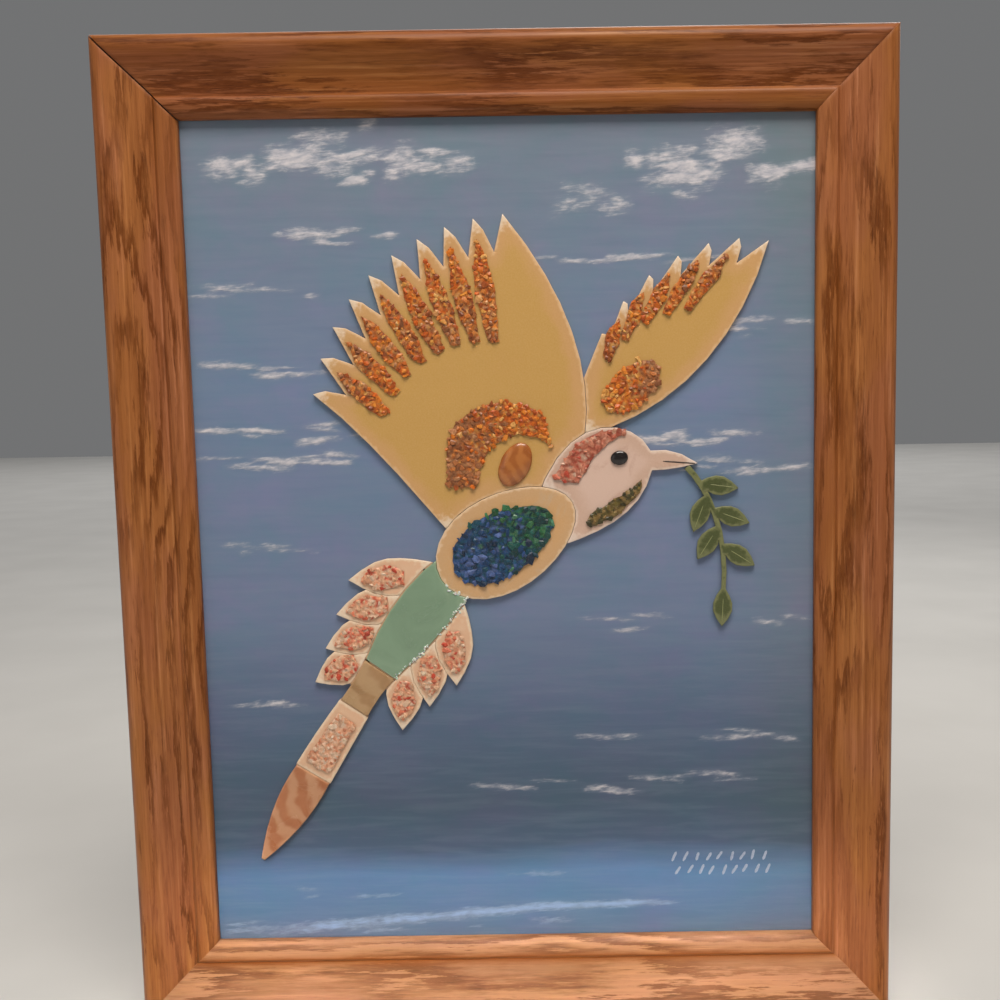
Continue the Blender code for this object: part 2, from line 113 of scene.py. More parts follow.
# Joints: how far the solids' gaps are closed at the open and the closed mitres, and the glue in the closed
OPEN_JOINT_CLOSING = 0.0006
OPEN_JOINT_CLOSING_FRONT = 0.0004
CLOSED_JOINT_CLOSING = 0.0001
GLUE_LINE_HALF = 0.00010
GLUE_LINE_DEPTH = 0.00012

# Picture, as distances forward of the back
PLATE_FRONT = 0.0115
SLAB_FRONT = 0.0120
BED_BACK = 0.0118
BOARD_FRONT = 0.0092

# Painted board: its grid, the heights of sky and sea, and the screen pressed into its back
BOARD_COLUMNS = 152
BOARD_ROWS = 520
SEA_FOOT = -0.425
SKY_TOP = -0.025
SEA_EDGE = (-0.385, -0.375)
SCREEN_PITCH = 2600.0

# Cloud patches as (x, z, width, height, strokes, strength), and rows as (z, left, right, strokes, strength)
CLOUD_PATCHES = (
    (-0.100, -0.044, 0.050, 0.014, 22, 0.95),
    (-0.040, -0.038, 0.030, 0.009, 9, 0.8),
    (0.100, -0.046, 0.050, 0.013, 20, 0.95),
    (0.052, -0.062, 0.024, 0.007, 5, 0.7),
)
CLOUD_ROWS = (
    (-0.075, -0.14, -0.045, 7, 0.8),
    (-0.088, 0.02, 0.10, 6, 0.75),
    (-0.100, -0.14, -0.080, 6, 0.8),
    (-0.122, 0.085, 0.145, 5, 0.75),
    (-0.138, -0.145, -0.09, 6, 0.75),
    (-0.168, -0.145, -0.05, 13, 0.9),
    (-0.174, 0.066, 0.145, 12, 0.9),
    (-0.182, -0.145, -0.075, 10, 0.85),
    (-0.186, 0.080, 0.145, 10, 0.8),
    (-0.222, -0.14, -0.08, 4, 0.55),
    (-0.262, 0.05, 0.14, 5, 0.6),
    (-0.300, -0.145, -0.10, 5, 0.6),
    (-0.318, 0.04, 0.14, 7, 0.7),
    (-0.340, 0.02, 0.12, 5, 0.55),
    (-0.345, -0.02, 0.05, 4, 0.5),
    (-0.3975, -0.105, -0.050, 3, 0.34),
    (-0.4140, -0.140, 0.020, 9, 0.46),
    (-0.3890, 0.000, 0.018, 2, 0.4),
)

# Cut plates: mesh steps, how far the edge and the tip and border tints reach, and how the face is finished
GAP_CLOSING = 0.00014
OUTLINE_STEP = 0.0011
FACE_STEP = 0.0022
EDGE_REACH = 0.0022
DEEP_REACH = 0.011
ROUNDING = 0.0003
WOBBLE = 0.00012
UNDULATION = 0.00006
SLAB_FINISH = {"wobble": 0.0001, "undulation": 0.00012}

# Beds of crushed stone: the fines between the stones, and the share of its height that a stone keeps
FINES_STEP = 0.0012
FINES_RAGGED = 0.0004
FINES_RIM_RISE = 0.00025
FINES_RISE = (0.0004, 0.0008)
CHIP_SQUASH = 0.62
CHIP_LEAN = 0.16

# Painted lines: half widths, how far they stand proud or sink, and how deep their foot reaches
BEAK_HALF = 0.00042
BEAK_RISE = 0.00012
RIB_HALF = 0.00026
RIB_RISE = 0.00006
RIB_REACHES = (0.0022, 0.0070, 0.0135)
LINE_FOOT = 0.0002
LINE_SHOULDER = 0.8
SEAM_HALF = 0.00052
SEAM_SINK = 0.00008
SEAM_OFFSET = 0.00040
SEAM_REACH = 0.0011
SEAM_SHOULDER = 0.97
DAB_HALF = 0.00085
DAB_RISE = 0.0001
DAB_ROWS = (-0.3806, -0.3876)
DAB_COUNT = 9
DAB_LEFT = 0.0800
DAB_PITCH = 0.0056
DAB_INDENT = 0.0018

# Palettes of crushed stone
AMBER = (
    (250, 132, 36), (254, 156, 54), (240, 116, 28), (208, 98, 28), (250, 176, 84), (252, 144, 40),
    (176, 88, 34), (254, 190, 108), (230, 124, 40),
)
RUSSET = (
    (244, 144, 60), (224, 122, 46), (250, 166, 86), (192, 98, 38), (250, 184, 114), (232, 138, 54),
    (158, 82, 36),
)
MAUVE = ((202, 136, 88), (180, 116, 70), (218, 154, 104), (158, 96, 54), (228, 138, 66), (194, 120, 66))
PINK = (
    (255, 198, 160), (255, 188, 148), (255, 212, 180), (255, 222, 194), (242, 122, 90), (255, 204, 166),
    (255, 176, 138), (255, 208, 172), (218, 86, 62), (255, 192, 154), (248, 142, 108), (255, 216, 184),
)
ROSE = (
    (232, 150, 120), (200, 106, 80), (250, 190, 160), (226, 134, 104), (184, 94, 68), (218, 122, 96),
    (240, 166, 138), (206, 84, 62), (252, 208, 182), (230, 144, 116),
)
PALE_PINK = (
    (255, 206, 172), (255, 196, 160), (255, 218, 188), (250, 186, 146), (255, 226, 200), (242, 160, 120),
)
OLIVE = ((126, 110, 50), (146, 122, 64), (92, 88, 44), (166, 138, 86), (74, 72, 40), (182, 152, 98))
BLUES = (
    (28, 70, 118), (34, 94, 136), (58, 96, 160), (92, 120, 182), (22, 86, 112), (16, 50, 82), (36, 84, 138),
)
GREENS = (
    (26, 96, 90), (34, 96, 62), (56, 128, 84), (20, 70, 74), (80, 142, 112), (38, 106, 98), (24, 76, 98),
)

frame_low, frame_high = cad_box
board_low, board_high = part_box("picture_board")


# Materials


def linear(colour):
    """An sRGB colour in 0-255, as the linear colour that shaders use."""
    values = []
    for value in colour:
        share = value / 255
        values.append(share / 12.92 if share <= 0.04045 else ((share + 0.055) / 1.055) ** 2.4)
    return (*values, 1.0)


class Look:
    """One material under construction. Its helpers add nodes and return their output sockets."""

    def __init__(self, name, roughness=0.5, coat=0.0, coat_roughness=0.1, specular=0.5):
        self.material = bpy.data.materials.new(name)
        self.material.use_nodes = True
        self.tree = self.material.node_tree
        self.shader = self.tree.nodes["Principled BSDF"]
        self.shader.inputs["Roughness"].default_value = roughness
        self.shader.inputs["Coat Weight"].default_value = coat
        self.shader.inputs["Coat Roughness"].default_value = coat_roughness
        self.shader.inputs["Specular IOR Level"].default_value = specular

    def node(self, kind, sockets, **settings):
        made = self.tree.nodes.new(kind)
        for name, value in settings.items():
            setattr(made, name, value)
        for name, value in sockets.items():
            self.feed(made.inputs[name], value)
        return made

    def feed(self, socket, value):
        if isinstance(value, bpy.types.NodeSocket):
            self.tree.links.new(value, socket)
        else:
            socket.default_value = value

    def place(self):
        return self.node("ShaderNodeTexCoord", {}).outputs["Object"]

    def axes(self, vector):
        split = self.node("ShaderNodeSeparateXYZ", {0: vector})
        return split.outputs["X"], split.outputs["Y"], split.outputs["Z"]

    def vector(self, x, y, z):
        return self.node("ShaderNodeCombineXYZ", {0: x, 1: y, 2: z}).outputs[0]

    def shifted(self, vector, offset):
        return self.node("ShaderNodeVectorMath", {0: vector, 1: offset}, operation="ADD").outputs[0]

    def math(self, operation, a, b=0.0, c=0.0):
        return self.node("ShaderNodeMath", {0: a, 1: b, 2: c}, operation=operation).outputs[0]

    def add(self, a, b):
        return self.math("ADD", a, b)

    def times(self, a, b):
        return self.math("MULTIPLY", a, b)

    def noise(self, vector, scale, detail=2.0, rough=0.5, warp=0.0):
        inputs = {"Vector": vector, "Scale": scale, "Detail": detail, "Roughness": rough}
        return self.node("ShaderNodeTexNoise", {**inputs, "Distortion": warp}).outputs["Fac"]

    def stretched(self, vector, scales, detail=2.0, rough=0.5, warp=0.0):
        """Noise with a scale of its own along each axis."""
        scaled = self.node("ShaderNodeVectorMath", {0: vector, 1: scales}, operation="MULTIPLY")
        return self.noise(scaled.outputs[0], 1.0, detail, rough, warp)

    def fit(self, value, low, high, to_low=0.0, to_high=1.0, smooth=False):
        kind = "SMOOTHSTEP" if smooth else "LINEAR"
        inputs = {0: value, 1: low, 2: high, 3: to_low, 4: to_high}
        return self.node("ShaderNodeMapRange", inputs, interpolation_type=kind).outputs[0]

    def ramp(self, value, *stops):
        made = self.node("ShaderNodeValToRGB", {0: value})
        elements = made.color_ramp.elements
        while len(elements) < len(stops):
            elements.new(1.0)
        for element, (position, colour) in zip(elements, stops):
            element.position = position
            element.color = linear(colour)
        return made.outputs[0]

    def mix(self, share, a, b, blend="MIX"):
        """Blend two colours. One of three values is sRGB in 0-255, and one of four is used as it is."""
        a, b = (linear(c) if isinstance(c, tuple) and len(c) == 3 else c for c in (a, b))
        sockets = {"Factor": share, 6: a, 7: b}
        return self.node("ShaderNodeMix", sockets, data_type="RGBA", blend_type=blend).outputs[2]

    def attribute(self, name, output="Fac"):
        return self.node("ShaderNodeAttribute", {}, attribute_name=name).outputs[output]

    def colour(self, value):
        self.feed(self.shader.inputs["Base Color"], value)

    def clouded(self, scale, first, second):
        """Give the material a colour that wanders between two, and return the noise that it follows."""
        clouding = self.noise(self.place(), scale, 3.0)
        self.colour(self.mix(self.fit(clouding, 0.3, 0.7), first, second))
        return clouding

    def roughness(self, value):
        self.feed(self.shader.inputs["Roughness"], value)

    def bump(self, height, distance, strength=1.0):
        sockets = {"Height": height, "Distance": distance, "Strength": strength}
        self.feed(self.shader.inputs["Normal"], self.node("ShaderNodeBump", sockets).outputs[0])


def plain_look(name, scale, first, second, **finish):
    """A material with nothing but a wandering colour."""
    look = Look(name, **finish)
    look.clouded(scale, first, second)
    return look.material


def oak_look(name, upright, seed, tone_and_painted_shade, paleness_and_painted_light, figure, ring_end, groove_painted_shade):
    """Plain-sawn stained oak: broad pointed flames, long fine streaks and brown pores along the rail.

    The back, against the wall, is bare wood with the stain run a little over its edges.
    """
    chance = random.Random(seed)
    low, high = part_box(name)
    middle = (low.x + high.x) / 2 if upright else (low.z + high.z) / 2
    look = Look(name, roughness=0.42, coat=0.05, coat_roughness=0.26, specular=0.18)
    x, y, z = look.axes(look.place())
    along, across = (z, x) if upright else (x, z)
    offset = (chance.uniform(-5, 5), chance.uniform(-5, 5), chance.uniform(-5, 5))
    run = look.shifted(look.vector(along, across, y), offset)
    drift = look.stretched(run, (4.0, 9.0, 9.0), 2.0)
    heart = look.add(across, look.fit(drift, 0.3, 0.7, -0.010, 0.010))
    heart = look.math("SUBTRACT", heart, middle + chance.uniform(-0.012, 0.012))
    slope = look.stretched(run, (figure, 2.0, 2.0), 1.5)
    depth = look.add(y, look.fit(slope, 0.25, 0.75, 0.024, 0.048))
    heart_squared = look.math("POWER", heart, 2.0)
    radius = look.math("SQRT", look.add(heart_squared, look.math("POWER", depth, 2.0)))
    feather = look.stretched(run, (38.0, 430.0, 430.0), 5.0, 0.7)
    phase = look.add(look.math("DIVIDE", radius, RING_WIDTH), look.fit(feather, 0.2, 0.8, -0.55, 0.55))
    ring = look.math("FRACT", phase)
    early = look.fit(ring, 0.22, ring_end, 1.0, 0.0, smooth=True)
    early = look.times(early, look.fit(ring, 0.0, 0.18, 0.0, 1.0, smooth=True))
    fade = look.stretched(run, (13.0, 55.0, 55.0), 2.0)
    early = look.times(early, look.fit(fade, 0.34, 0.60, 0.30, 1.0, smooth=True))
    pores = look.stretched(run, (110.0, 1350.0, 1350.0), 3.0, 0.5)
    pores = look.fit(pores, 0.48, 0.72, smooth=True)
    pores = look.times(pores, look.math("MULTIPLY_ADD", early, 0.75, 0.25))
    streaks = look.stretched(run, (11.0, 520.0, 520.0), 4.0, 0.6)
    fibre = look.stretched(run, (36.0, 2600.0, 2600.0), 3.0, 0.6)
    tone = look.stretched(run, (7.0, 60.0, 60.0), 3.0)
    light = look.mix(look.fit(tone, 0.32, 0.68), (194, 124, 74), (167, 98, 53))
    streaked = look.mix(look.fit(streaks, 0.30, 0.72, 0.0, 0.72), light, (128, 66, 14))
    glow = look.mix(look.fit(streaks, 0.18, 0.42, 0.6, 0.0), streaked, (216, 154, 106))
    ringed = look.mix(look.times(early, 0.82), glow, (102, 47, 2))
    fibred = look.mix(look.fit(fibre, 0.35, 0.75, 0.0, 0.28), ringed, (110, 56, 6))
    pored = look.mix(look.times(pores, 0.6), fibred, (76, 33, 2))
    # Tone and paleness are set per rail: painted shade on the top rail, painted light on the bottom one
    stain_and_painted_light = look.mix(1.0, pored, (tone_and_painted_shade, tone_and_painted_shade, tone_and_painted_shade, 1.0), blend="MULTIPLY")
    warmth = look.stretched(run, (16.0, 48.0, 48.0), 3.0)
    warmth = look.fit(warmth, 0.38, 0.62, smooth=True)
    tint = look.mix(warmth, (1.0, 1.01, 0.80, 1.0), (1.0, 0.985, 1.18, 1.0))
    stain_and_painted_light = look.mix(1.0, stain_and_painted_light, tint, blend="MULTIPLY")
    stain_and_painted_light = look.mix(look.fit(early, 0.0, 1.0, paleness_and_painted_light, paleness_and_painted_light * 0.3), stain_and_painted_light, (237, 193, 154))
    # Painted shade: a brown band below the bead, full on the bottom rail, faint on the sides, none on top
    groove_shade = look.times(look.attribute("groove_shade_mask"), groove_painted_shade)
    stain_and_painted_light = look.mix(groove_shade, stain_and_painted_light, (158, 88, 34))
    raw_wood = look.mix(0.55, glow, (206, 170, 128))
    raw_wood = look.mix(look.times(early, 0.45), raw_wood, (140, 98, 62))
    overrun = look.stretched(run, (60.0, 300.0, 300.0), 3.0)
    overrun = look.fit(overrun, 0.3, 0.7, -0.0006, 0.0004)
    bare = look.fit(look.add(y, overrun), -0.0013, -0.0006, smooth=True)
    look.colour(look.mix(bare, stain_and_painted_light, raw_wood))
    gloss = look.fit(tone, 0.3, 0.7, 0.36, 0.48)
    look.roughness(look.math("MULTIPLY_ADD", bare, 0.3, gloss))
    relief = look.math("MULTIPLY_ADD", pores, -1.0, look.times(fibre, 0.3))
    look.bump(relief, 0.00010, 0.5)
    return look.material


def sky_look():
    """Brushed sky, with painted shade above a brighter sea band, and dry-brushed white where the cloud
    attribute says.
    """
    look = Look("brushed_sky", roughness=0.55, specular=0.3)
    place = look.place()
    x, _, z = look.axes(place)
    wander = look.stretched(place, (9.0, 1.0, 30.0), 3.0)
    height = look.add(z, look.fit(wander, 0.3, 0.7, -0.004, 0.004))
    # The ramp's dark band just above the sea is painted shade
    sky_with_painted_shade = look.ramp(
        look.fit(height, SEA_FOOT, SKY_TOP),
        (0.00, (100, 110, 132)),
        (0.04, (90, 115, 148)),
        (0.095, (97, 130, 170)),
        (0.130, (80, 97, 121)),
        (0.18, (82, 98, 119)),
        (0.28, (94, 110, 137)),
        (0.42, (118, 132, 162)),
        (0.70, (118, 136, 167)),
        (1.00, (121, 133, 150)),
    )
    greyer = look.fit(x, 0.095, 0.145, 0.0, 0.8, smooth=True)
    tinted = look.mix(greyer, sky_with_painted_shade, (0.99, 0.92, 0.80, 1.0), blend="MULTIPLY")
    teal = look.stretched(place, (26.0, 1.0, 38.0), 4.0, 0.65)
    teal = look.fit(teal, 0.40, 0.62, 0.0, 0.8)
    tinted = look.mix(teal, tinted, (0.86, 1.03, 0.98, 1.0), blend="MULTIPLY")
    plum = look.stretched(look.shifted(place, (4.0, 0.0, 9.0)), (24.0, 1.0, 38.0), 4.0, 0.65)
    plum = look.fit(plum, 0.46, 0.66, 0.0, 0.8)
    tinted = look.mix(plum, tinted, (1.16, 0.98, 1.06, 1.0), blend="MULTIPLY")
    strokes = look.stretched(place, (22.0, 1.0, 260.0), 4.0, 0.6, 0.4)
    brushed = look.mix(look.fit(strokes, 0.45, 0.85, 0.0, 0.24), tinted, (142, 154, 170))
    shade = look.mix(look.fit(strokes, 0.15, 0.45, 0.14, 0.0), brushed, (74, 92, 118))
    brush = look.vector(x, 0.0, look.math("MULTIPLY_ADD", x, -0.10, z))
    dry = look.stretched(brush, (150.0, 1.0, 460.0), 4.0, 0.6, 0.2)
    drag = look.stretched(brush, (46.0, 1.0, 190.0), 3.0, 0.5, 0.2)
    bristle = look.stretched(brush, (70.0, 1.0, 1900.0), 2.0, 0.5)
    cloud = look.attribute("cloud")
    broken = look.add(look.fit(dry, 0.25, 0.75, -0.36, 0.26), look.fit(drag, 0.3, 0.7, -0.28, 0.16))
    broken = look.add(broken, look.fit(bristle, 0.3, 0.7, -0.10, 0.10))
    covered = look.add(cloud, broken)
    paint = look.times(look.fit(covered, 0.06, 0.78, smooth=True), look.fit(cloud, 0.0, 0.08))
    haze = look.fit(covered, -0.25, 0.4, 0.0, 0.36, smooth=True)
    haze = look.times(haze, look.fit(cloud, 0.0, 0.2))
    hazed = look.mix(haze, shade, (152, 160, 174))
    white = look.mix(look.fit(dry, 0.35, 0.7), (178, 180, 192), (228, 222, 224))
    at_sea = look.fit(z, *SEA_EDGE, 1.0, 0.0)
    white = look.mix(at_sea, white, (140, 164, 200))
    look.colour(look.mix(look.times(paint, 0.94), hazed, white))
    look.roughness(look.fit(strokes, 0.3, 0.7, 0.46, 0.60))
    relief = look.add(look.times(strokes, 0.35), look.times(paint, 0.9))
    look.bump(relief, 0.0002, 0.6)
    return look.material


def hardboard_look():
    """The back and edges of the board: brown pressed fibre with a screen texture."""
    look = Look("hardboard", roughness=0.72)
    place = look.place()
    fibre = look.noise(place, 600.0, 5.0, 0.65)
    blotch = look.noise(place, 30.0, 3.0)
    base = look.mix(look.fit(blotch, 0.3, 0.7), (120, 84, 54), (101, 69, 43))
    look.colour(look.mix(look.fit(fibre, 0.3, 0.75, 0.0, 0.6), base, (158, 121, 84)))
    x, _, z = look.axes(place)
    weave_x = look.math("SINE", look.times(x, SCREEN_PITCH))
    weave_z = look.math("SINE", look.times(z, SCREEN_PITCH))
    screen = look.times(weave_x, weave_z)
    look.bump(look.add(look.times(screen, 0.5), fibre), 0.0002, 0.5)
    return look.material


def plate_look(name, base, border, rim, tip, roughness=0.42, streak=None):
    """A cut plate: a rubbed, clouded face, warmer near its border and pale along cut edges and at tips."""
    look = Look(name, roughness=roughness, coat=0.2, coat_roughness=0.24, specular=0.4)
    place = look.place()
    clouding = look.noise(place, 70.0, 4.0, 0.6, 0.4)
    grain = look.noise(place, 1300.0, 2.0)
    deep = look.add(look.attribute("deep"), look.fit(clouding, 0.3, 0.7, -0.25, 0.25))
    face = look.mix(look.fit(deep, 0.15, 0.9, smooth=True), border, base)
    face = look.mix(look.fit(grain, 0.35, 0.75, 0.0, 0.14), face, rim)
    if streak:
        wisps = look.noise(place, 60.0, 5.0, 0.7, 1.2)
        face = look.mix(look.fit(wisps, 0.52, 0.70, 0.0, 0.5, smooth=True), face, streak)
    ragged = look.fit(look.noise(place, 420.0, 3.0), 0.25, 0.75, -0.28, 0.28)
    at_edge = look.fit(look.add(look.attribute("edge"), ragged), 0.30, 0.85, 0.0, 0.8, smooth=True)
    face = look.mix(at_edge, face, rim)
    at_tip = look.fit(look.add(look.attribute("tip"), ragged), 0.25, 0.8, 0.0, 0.9, smooth=True)
    look.colour(look.mix(at_tip, face, tip))
    look.roughness(look.fit(clouding, 0.3, 0.7, roughness - 0.06, roughness + 0.1))
    look.bump(look.add(grain, look.times(clouding, 0.6)), 0.00008, 0.5)
    return look.material


def polished_look(name, base, dark, pale, scale, bands=0.0):
    """A polished stone: clouded, or banded where bands is not zero."""
    look = Look(name, roughness=0.24, coat=0.5, coat_roughness=0.08)
    place = look.place()
    clouding = look.noise(place, scale, 5.0, 0.6, 0.8)
    face = look.mix(look.fit(clouding, 0.32, 0.68), base, dark)
    if bands:
        warped = look.noise(place, scale * 0.7, 3.0, 0.5, 0.6)
        x, _, z = look.axes(place)
        sweep = look.add(look.times(x, bands), look.times(z, bands * 0.55))
        phase = look.add(sweep, look.times(warped, 16.0))
        wave = look.math("MULTIPLY_ADD", look.math("SINE", phase), 0.5, 0.5)
        face = look.mix(look.fit(wave, 0.1, 0.95, 0.0, 0.62, smooth=True), face, pale)
    else:
        wisps = look.noise(look.shifted(place, (3.0, 1.0, 2.0)), scale * 0.6, 4.0, 0.6, 1.5)
        face = look.mix(look.fit(wisps, 0.5, 0.72, 0.0, 0.35, smooth=True), face, pale)
    edge = look.attribute("edge")
    look.colour(look.mix(look.fit(edge, 0.5, 1.0, 0.0, 0.4, smooth=True), face, pale))
    look.roughness(look.fit(clouding, 0.3, 0.7, 0.18, 0.32))
    look.bump(clouding, 0.00010, 0.4)
    return look.material


def stone_look(name, translucency):
    """Crushed stone in glue: each chip has its own colour, clouded and slightly wet-looking."""
    look = Look(name, roughness=0.4, coat=0.22, coat_roughness=0.2, specular=0.35)
    place = look.place()
    own = look.attribute("chip_colour", "Color")
    clouding = look.noise(place, 700.0, 4.0, 0.6)
    dark = look.mix(1.0, own, (196, 180, 168), blend="MULTIPLY")
    face = look.mix(look.fit(clouding, 0.3, 0.7), dark, own)
    sugar = look.noise(place, 2400.0, 2.0)
    milky = look.mix(0.25, own, (244, 206, 170))
    look.colour(look.mix(look.fit(sugar, 0.55, 0.75, 0.0, 0.55), face, milky))
    look.roughness(look.fit(clouding, 0.3, 0.7, 0.32, 0.55))
    look.shader.inputs["Subsurface Weight"].default_value = translucency
    look.shader.inputs["Subsurface Radius"].default_value = (1.0, 0.6, 0.35)
    look.shader.inputs["Subsurface Scale"].default_value = 0.0014
    look.bump(clouding, 0.0001, 0.5)
    return look.material


def glue_look():
    """Clear glue that has dried whitish where it was squeezed out."""
    look = Look("dried_glue", roughness=0.22, coat=0.6, coat_roughness=0.06)
    clouding = look.clouded(1500.0, (238, 240, 232), (206, 214, 202))
    look.shader.inputs["Subsurface Weight"].default_value = 0.3
    look.shader.inputs["Subsurface Scale"].default_value = 0.001
    look.bump(clouding, 0.0001, 0.5)
    return look.material


def line_look(name, colour, worn):
    """A brushed line or dab of paint, thinner in places."""
    look = Look(name, roughness=0.5, coat=0.1)
    thin = look.noise(look.place(), 1300.0, 3.0, 0.6)
    look.colour(look.mix(look.fit(thin, 0.4, 0.75, 0.0, 0.6), colour, worn))
    look.bump(thin, 0.0001, 0.5)
    return look.material


# Meshes


def linked(name, mesh, materials, replaces=()):
    """A finished piece of the object: linked, given its materials and tied to the part."""
    item = bpy.data.objects.new(name, mesh)
    bpy.context.scene.collection.objects.link(item)
    for material in materials:
        mesh.materials.append(material)
    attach(item, "root")
    if replaces:
        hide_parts(*replaces)
    return item


def add_faces(work, corners, faces):
    for face in faces:
        work.faces.new([corners[index] for index in face])


def finished_mesh(name, work, smooth_angle=None):
    """The mesh that a work mesh has grown into, turned outwards, and smooth up to an angle where given."""
    bmesh.ops.recalc_face_normals(work, faces=work.faces)
    mesh = bpy.data.meshes.new(name)
    work.to_mesh(mesh)
    work.free()
    if smooth_angle is not None:
        mesh.shade_smooth()
        mesh.set_sharp_from_angle(angle=math.radians(smooth_angle))
    return mesh


def closed_mesh(name, vertices, faces, smooth_angle):
    """A finished mesh from corner places and faces."""
    work = bmesh.new()
    add_faces(work, [work.verts.new(vertex) for vertex in vertices], faces)
    return finished_mesh(name, work, smooth_angle)


def joined_rows(rows, size, closed=True):
    """Faces that join rows of vertices, each of the same size, and run round each row if it is closed."""
    faces = []
    for row in range(rows - 1):
        for point in range(size if closed else size - 1):
            a = row * size + point
            b = row * size + (point + 1) % size
            faces.append((a, b, b + size, a + size))
    return faces


def close_behind(work, back):
    """Close an open sheet with walls down to a flat foot, and return the foot's vertices."""
    rim = [edge for edge in work.edges if edge.is_boundary]
    walls = bmesh.ops.extrude_edge_only(work, edges=rim)
    foot = [item for item in walls["geom"] if isinstance(item, bmesh.types.BMVert)]
    for vertex in foot:
        vertex.co.y = -back
    bmesh.ops.edgeloop_fill(work, edges=[edge for edge in work.edges if edge.is_boundary])
    return foot


def set_values(mesh, name, values):
    layer = mesh.attributes.new(name, "FLOAT", "POINT")
    layer.data.foreach_set("value", np.asarray(values, np.float32))


def noise_at(x, y, z):
    """Smooth noise between about -1 and 1."""
    return noise.noise(Vector((x, y, z)))


def rail_profile():
    """The moulding's section as (distance in from the outer side, distance forward of the back)."""
    bead_start = RAIL_FACE - BEAD_WIDTH
    cove_end = bead_start - QUIRK_WIDTH
    cove_low = RAIL_DEPTH - COVE_DROP
    points = [(0.0, 0.0), (0.0, 0.004), (0.0, 0.008)]
    for step in range(13):
        turn = math.pi / 2 * step / 12
        inward = SHOULDER_WIDTH * (1 - math.cos(turn))
        points.append((inward, RAIL_DEPTH - SHOULDER_DROP * (1 - math.sin(turn))))
    for step in range(1, 25):
        share = step / 24
        inward = SHOULDER_WIDTH + (cove_end - SHOULDER_WIDTH) * share
        fall = (1 - math.cos(math.pi * share**COVE_SKEW)) / 2
        points.append((inward, RAIL_DEPTH - COVE_DROP * fall))
    bead_foot = cove_low + QUIRK_RISE
    bead_top = bead_foot + BEAD_RISE
    for step in range(6):
        turn = math.pi / 2 * step / 6
        inward = bead_start + BEAD_CREST * (1 - math.cos(turn))
        points.append((inward, bead_foot + BEAD_RISE * math.sin(turn)))
    sight_front = REBATE_DEPTH + LIP_EDGE
    for step in range(15):
        turn = math.pi / 2 * step / 14
        inward = bead_start + BEAD_CREST + (BEAD_WIDTH - BEAD_CREST) * math.sin(turn)
        points.append((inward, sight_front + (bead_top - sight_front) * math.cos(turn)))
    points.append((RAIL_FACE, REBATE_DEPTH))
    points.append((RAIL_FACE - LIP_WIDTH, REBATE_DEPTH))
    points.append((RAIL_FACE - LIP_WIDTH, REBATE_DEPTH / 2))
    points.append((RAIL_FACE - LIP_WIDTH, 0.0))
    points.append((RAIL_FACE / 2, 0.0))
    return points


def make_rail(name, seed, *grain):
    """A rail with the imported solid's section and mitres, finely meshed, its arrises a little worn."""
    low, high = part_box(name)
    upright = high.z - low.z > high.x - low.x
    run_low, run_high = (low.z, high.z) if upright else (low.x, high.x)
    outer_first = name in ("rail_left", "rail_bottom")
    profile = rail_profile()
    shares = [0.0, END_STEP]
    shares += [END_STEP + (1 - 2 * END_STEP) * step / RAIL_STEPS for step in range(1, RAIL_STEPS)]
    shares += [1 - END_STEP, 1.0]
    last = len(shares) - 1
    closing_gain = OPEN_JOINT_CLOSING_FRONT - OPEN_JOINT_CLOSING
    vertices = []
    for index, share in enumerate(shares):
        end_wear = ARRIS_WEAR if index in (0, last) else 0.0
        for inward, forward in profile:
            closing = OPEN_JOINT_CLOSING + closing_gain * forward / RAIL_DEPTH
            start = run_low + inward - (closing if name == "rail_top" else CLOSED_JOINT_CLOSING)
            end = run_high - inward + (closing if name == "rail_left" else CLOSED_JOINT_CLOSING)
            along = start + (end - start) * share
            depth = forward
            if forward > REBATE_DEPTH:
                wander = noise_at(along * 22, inward * 90, seed * 7.3) * PLANING
                dent = noise_at(along * 130, inward * 260, seed * 3.1 + 50)
                depth -= end_wear + abs(wander) + max(0.0, dent - DENT_RARITY) * DENT_DEPTH
            if outer_first:
                across = (low.x if upright else low.z) + inward
            else:
                across = (high.x if upright else high.z) - inward
            vertices.append((across, -depth, along) if upright else (along, -depth, across))
    size = len(profile)
    faces = joined_rows(len(shares), size) + [range(size), range(last * size, len(vertices))]
    mesh = closed_mesh(name + "_wood", vertices, faces, 40)
    # The band below the bead that takes the painted shade
    groove_shade_mask = [math.exp(-(((inward - GROOVE_SHADE_MIDDLE) / GROOVE_SHADE_HALF) ** 2)) for inward, _ in profile]
    set_values(mesh, "groove_shade_mask", groove_shade_mask * len(shares))
    for end_face in (len(faces) - 2, len(faces) - 1):
        mesh.polygons[end_face].material_index = 1
    return linked(name + "_wood", mesh, [oak_look(name, upright, seed, *grain), end_grain], [name])


def make_joint_glue(side_x, side_z):
    """The thin web of glue in one closed mitre, just below the moulding's surface."""
    corner_x = frame_high.x if side_x > 0 else frame_low.x
    corner_z = frame_high.z if side_z > 0 else frame_low.z
    foot = REBATE_DEPTH + GLUE_LINE_DEPTH
    inner = RAIL_FACE - GLUE_LINE_DEPTH
    section = [
        (min(max(inward, GLUE_LINE_DEPTH), inner), forward - GLUE_LINE_DEPTH)
        for inward, forward in rail_profile()
        if forward > foot + GLUE_LINE_DEPTH
    ]
    section += [(inner, foot), (GLUE_LINE_DEPTH, foot)]
    vertices = []
    for off in (-GLUE_LINE_HALF, GLUE_LINE_HALF):
        slide = off / math.sqrt(2)
        for inward, forward in section:
            x = corner_x - side_x * (inward + slide)
            z = corner_z - side_z * (inward - slide)
            vertices.append((x, -forward, z))
    size = len(section)
    faces = joined_rows(2, size) + [range(size), range(size, 2 * size)]
    name = "joint_glue_" + ("right" if side_x > 0 else "left") + ("_top" if side_z > 0 else "_bottom")
    return linked(name, closed_mesh(name, vertices, faces, 40), [joint_glue])


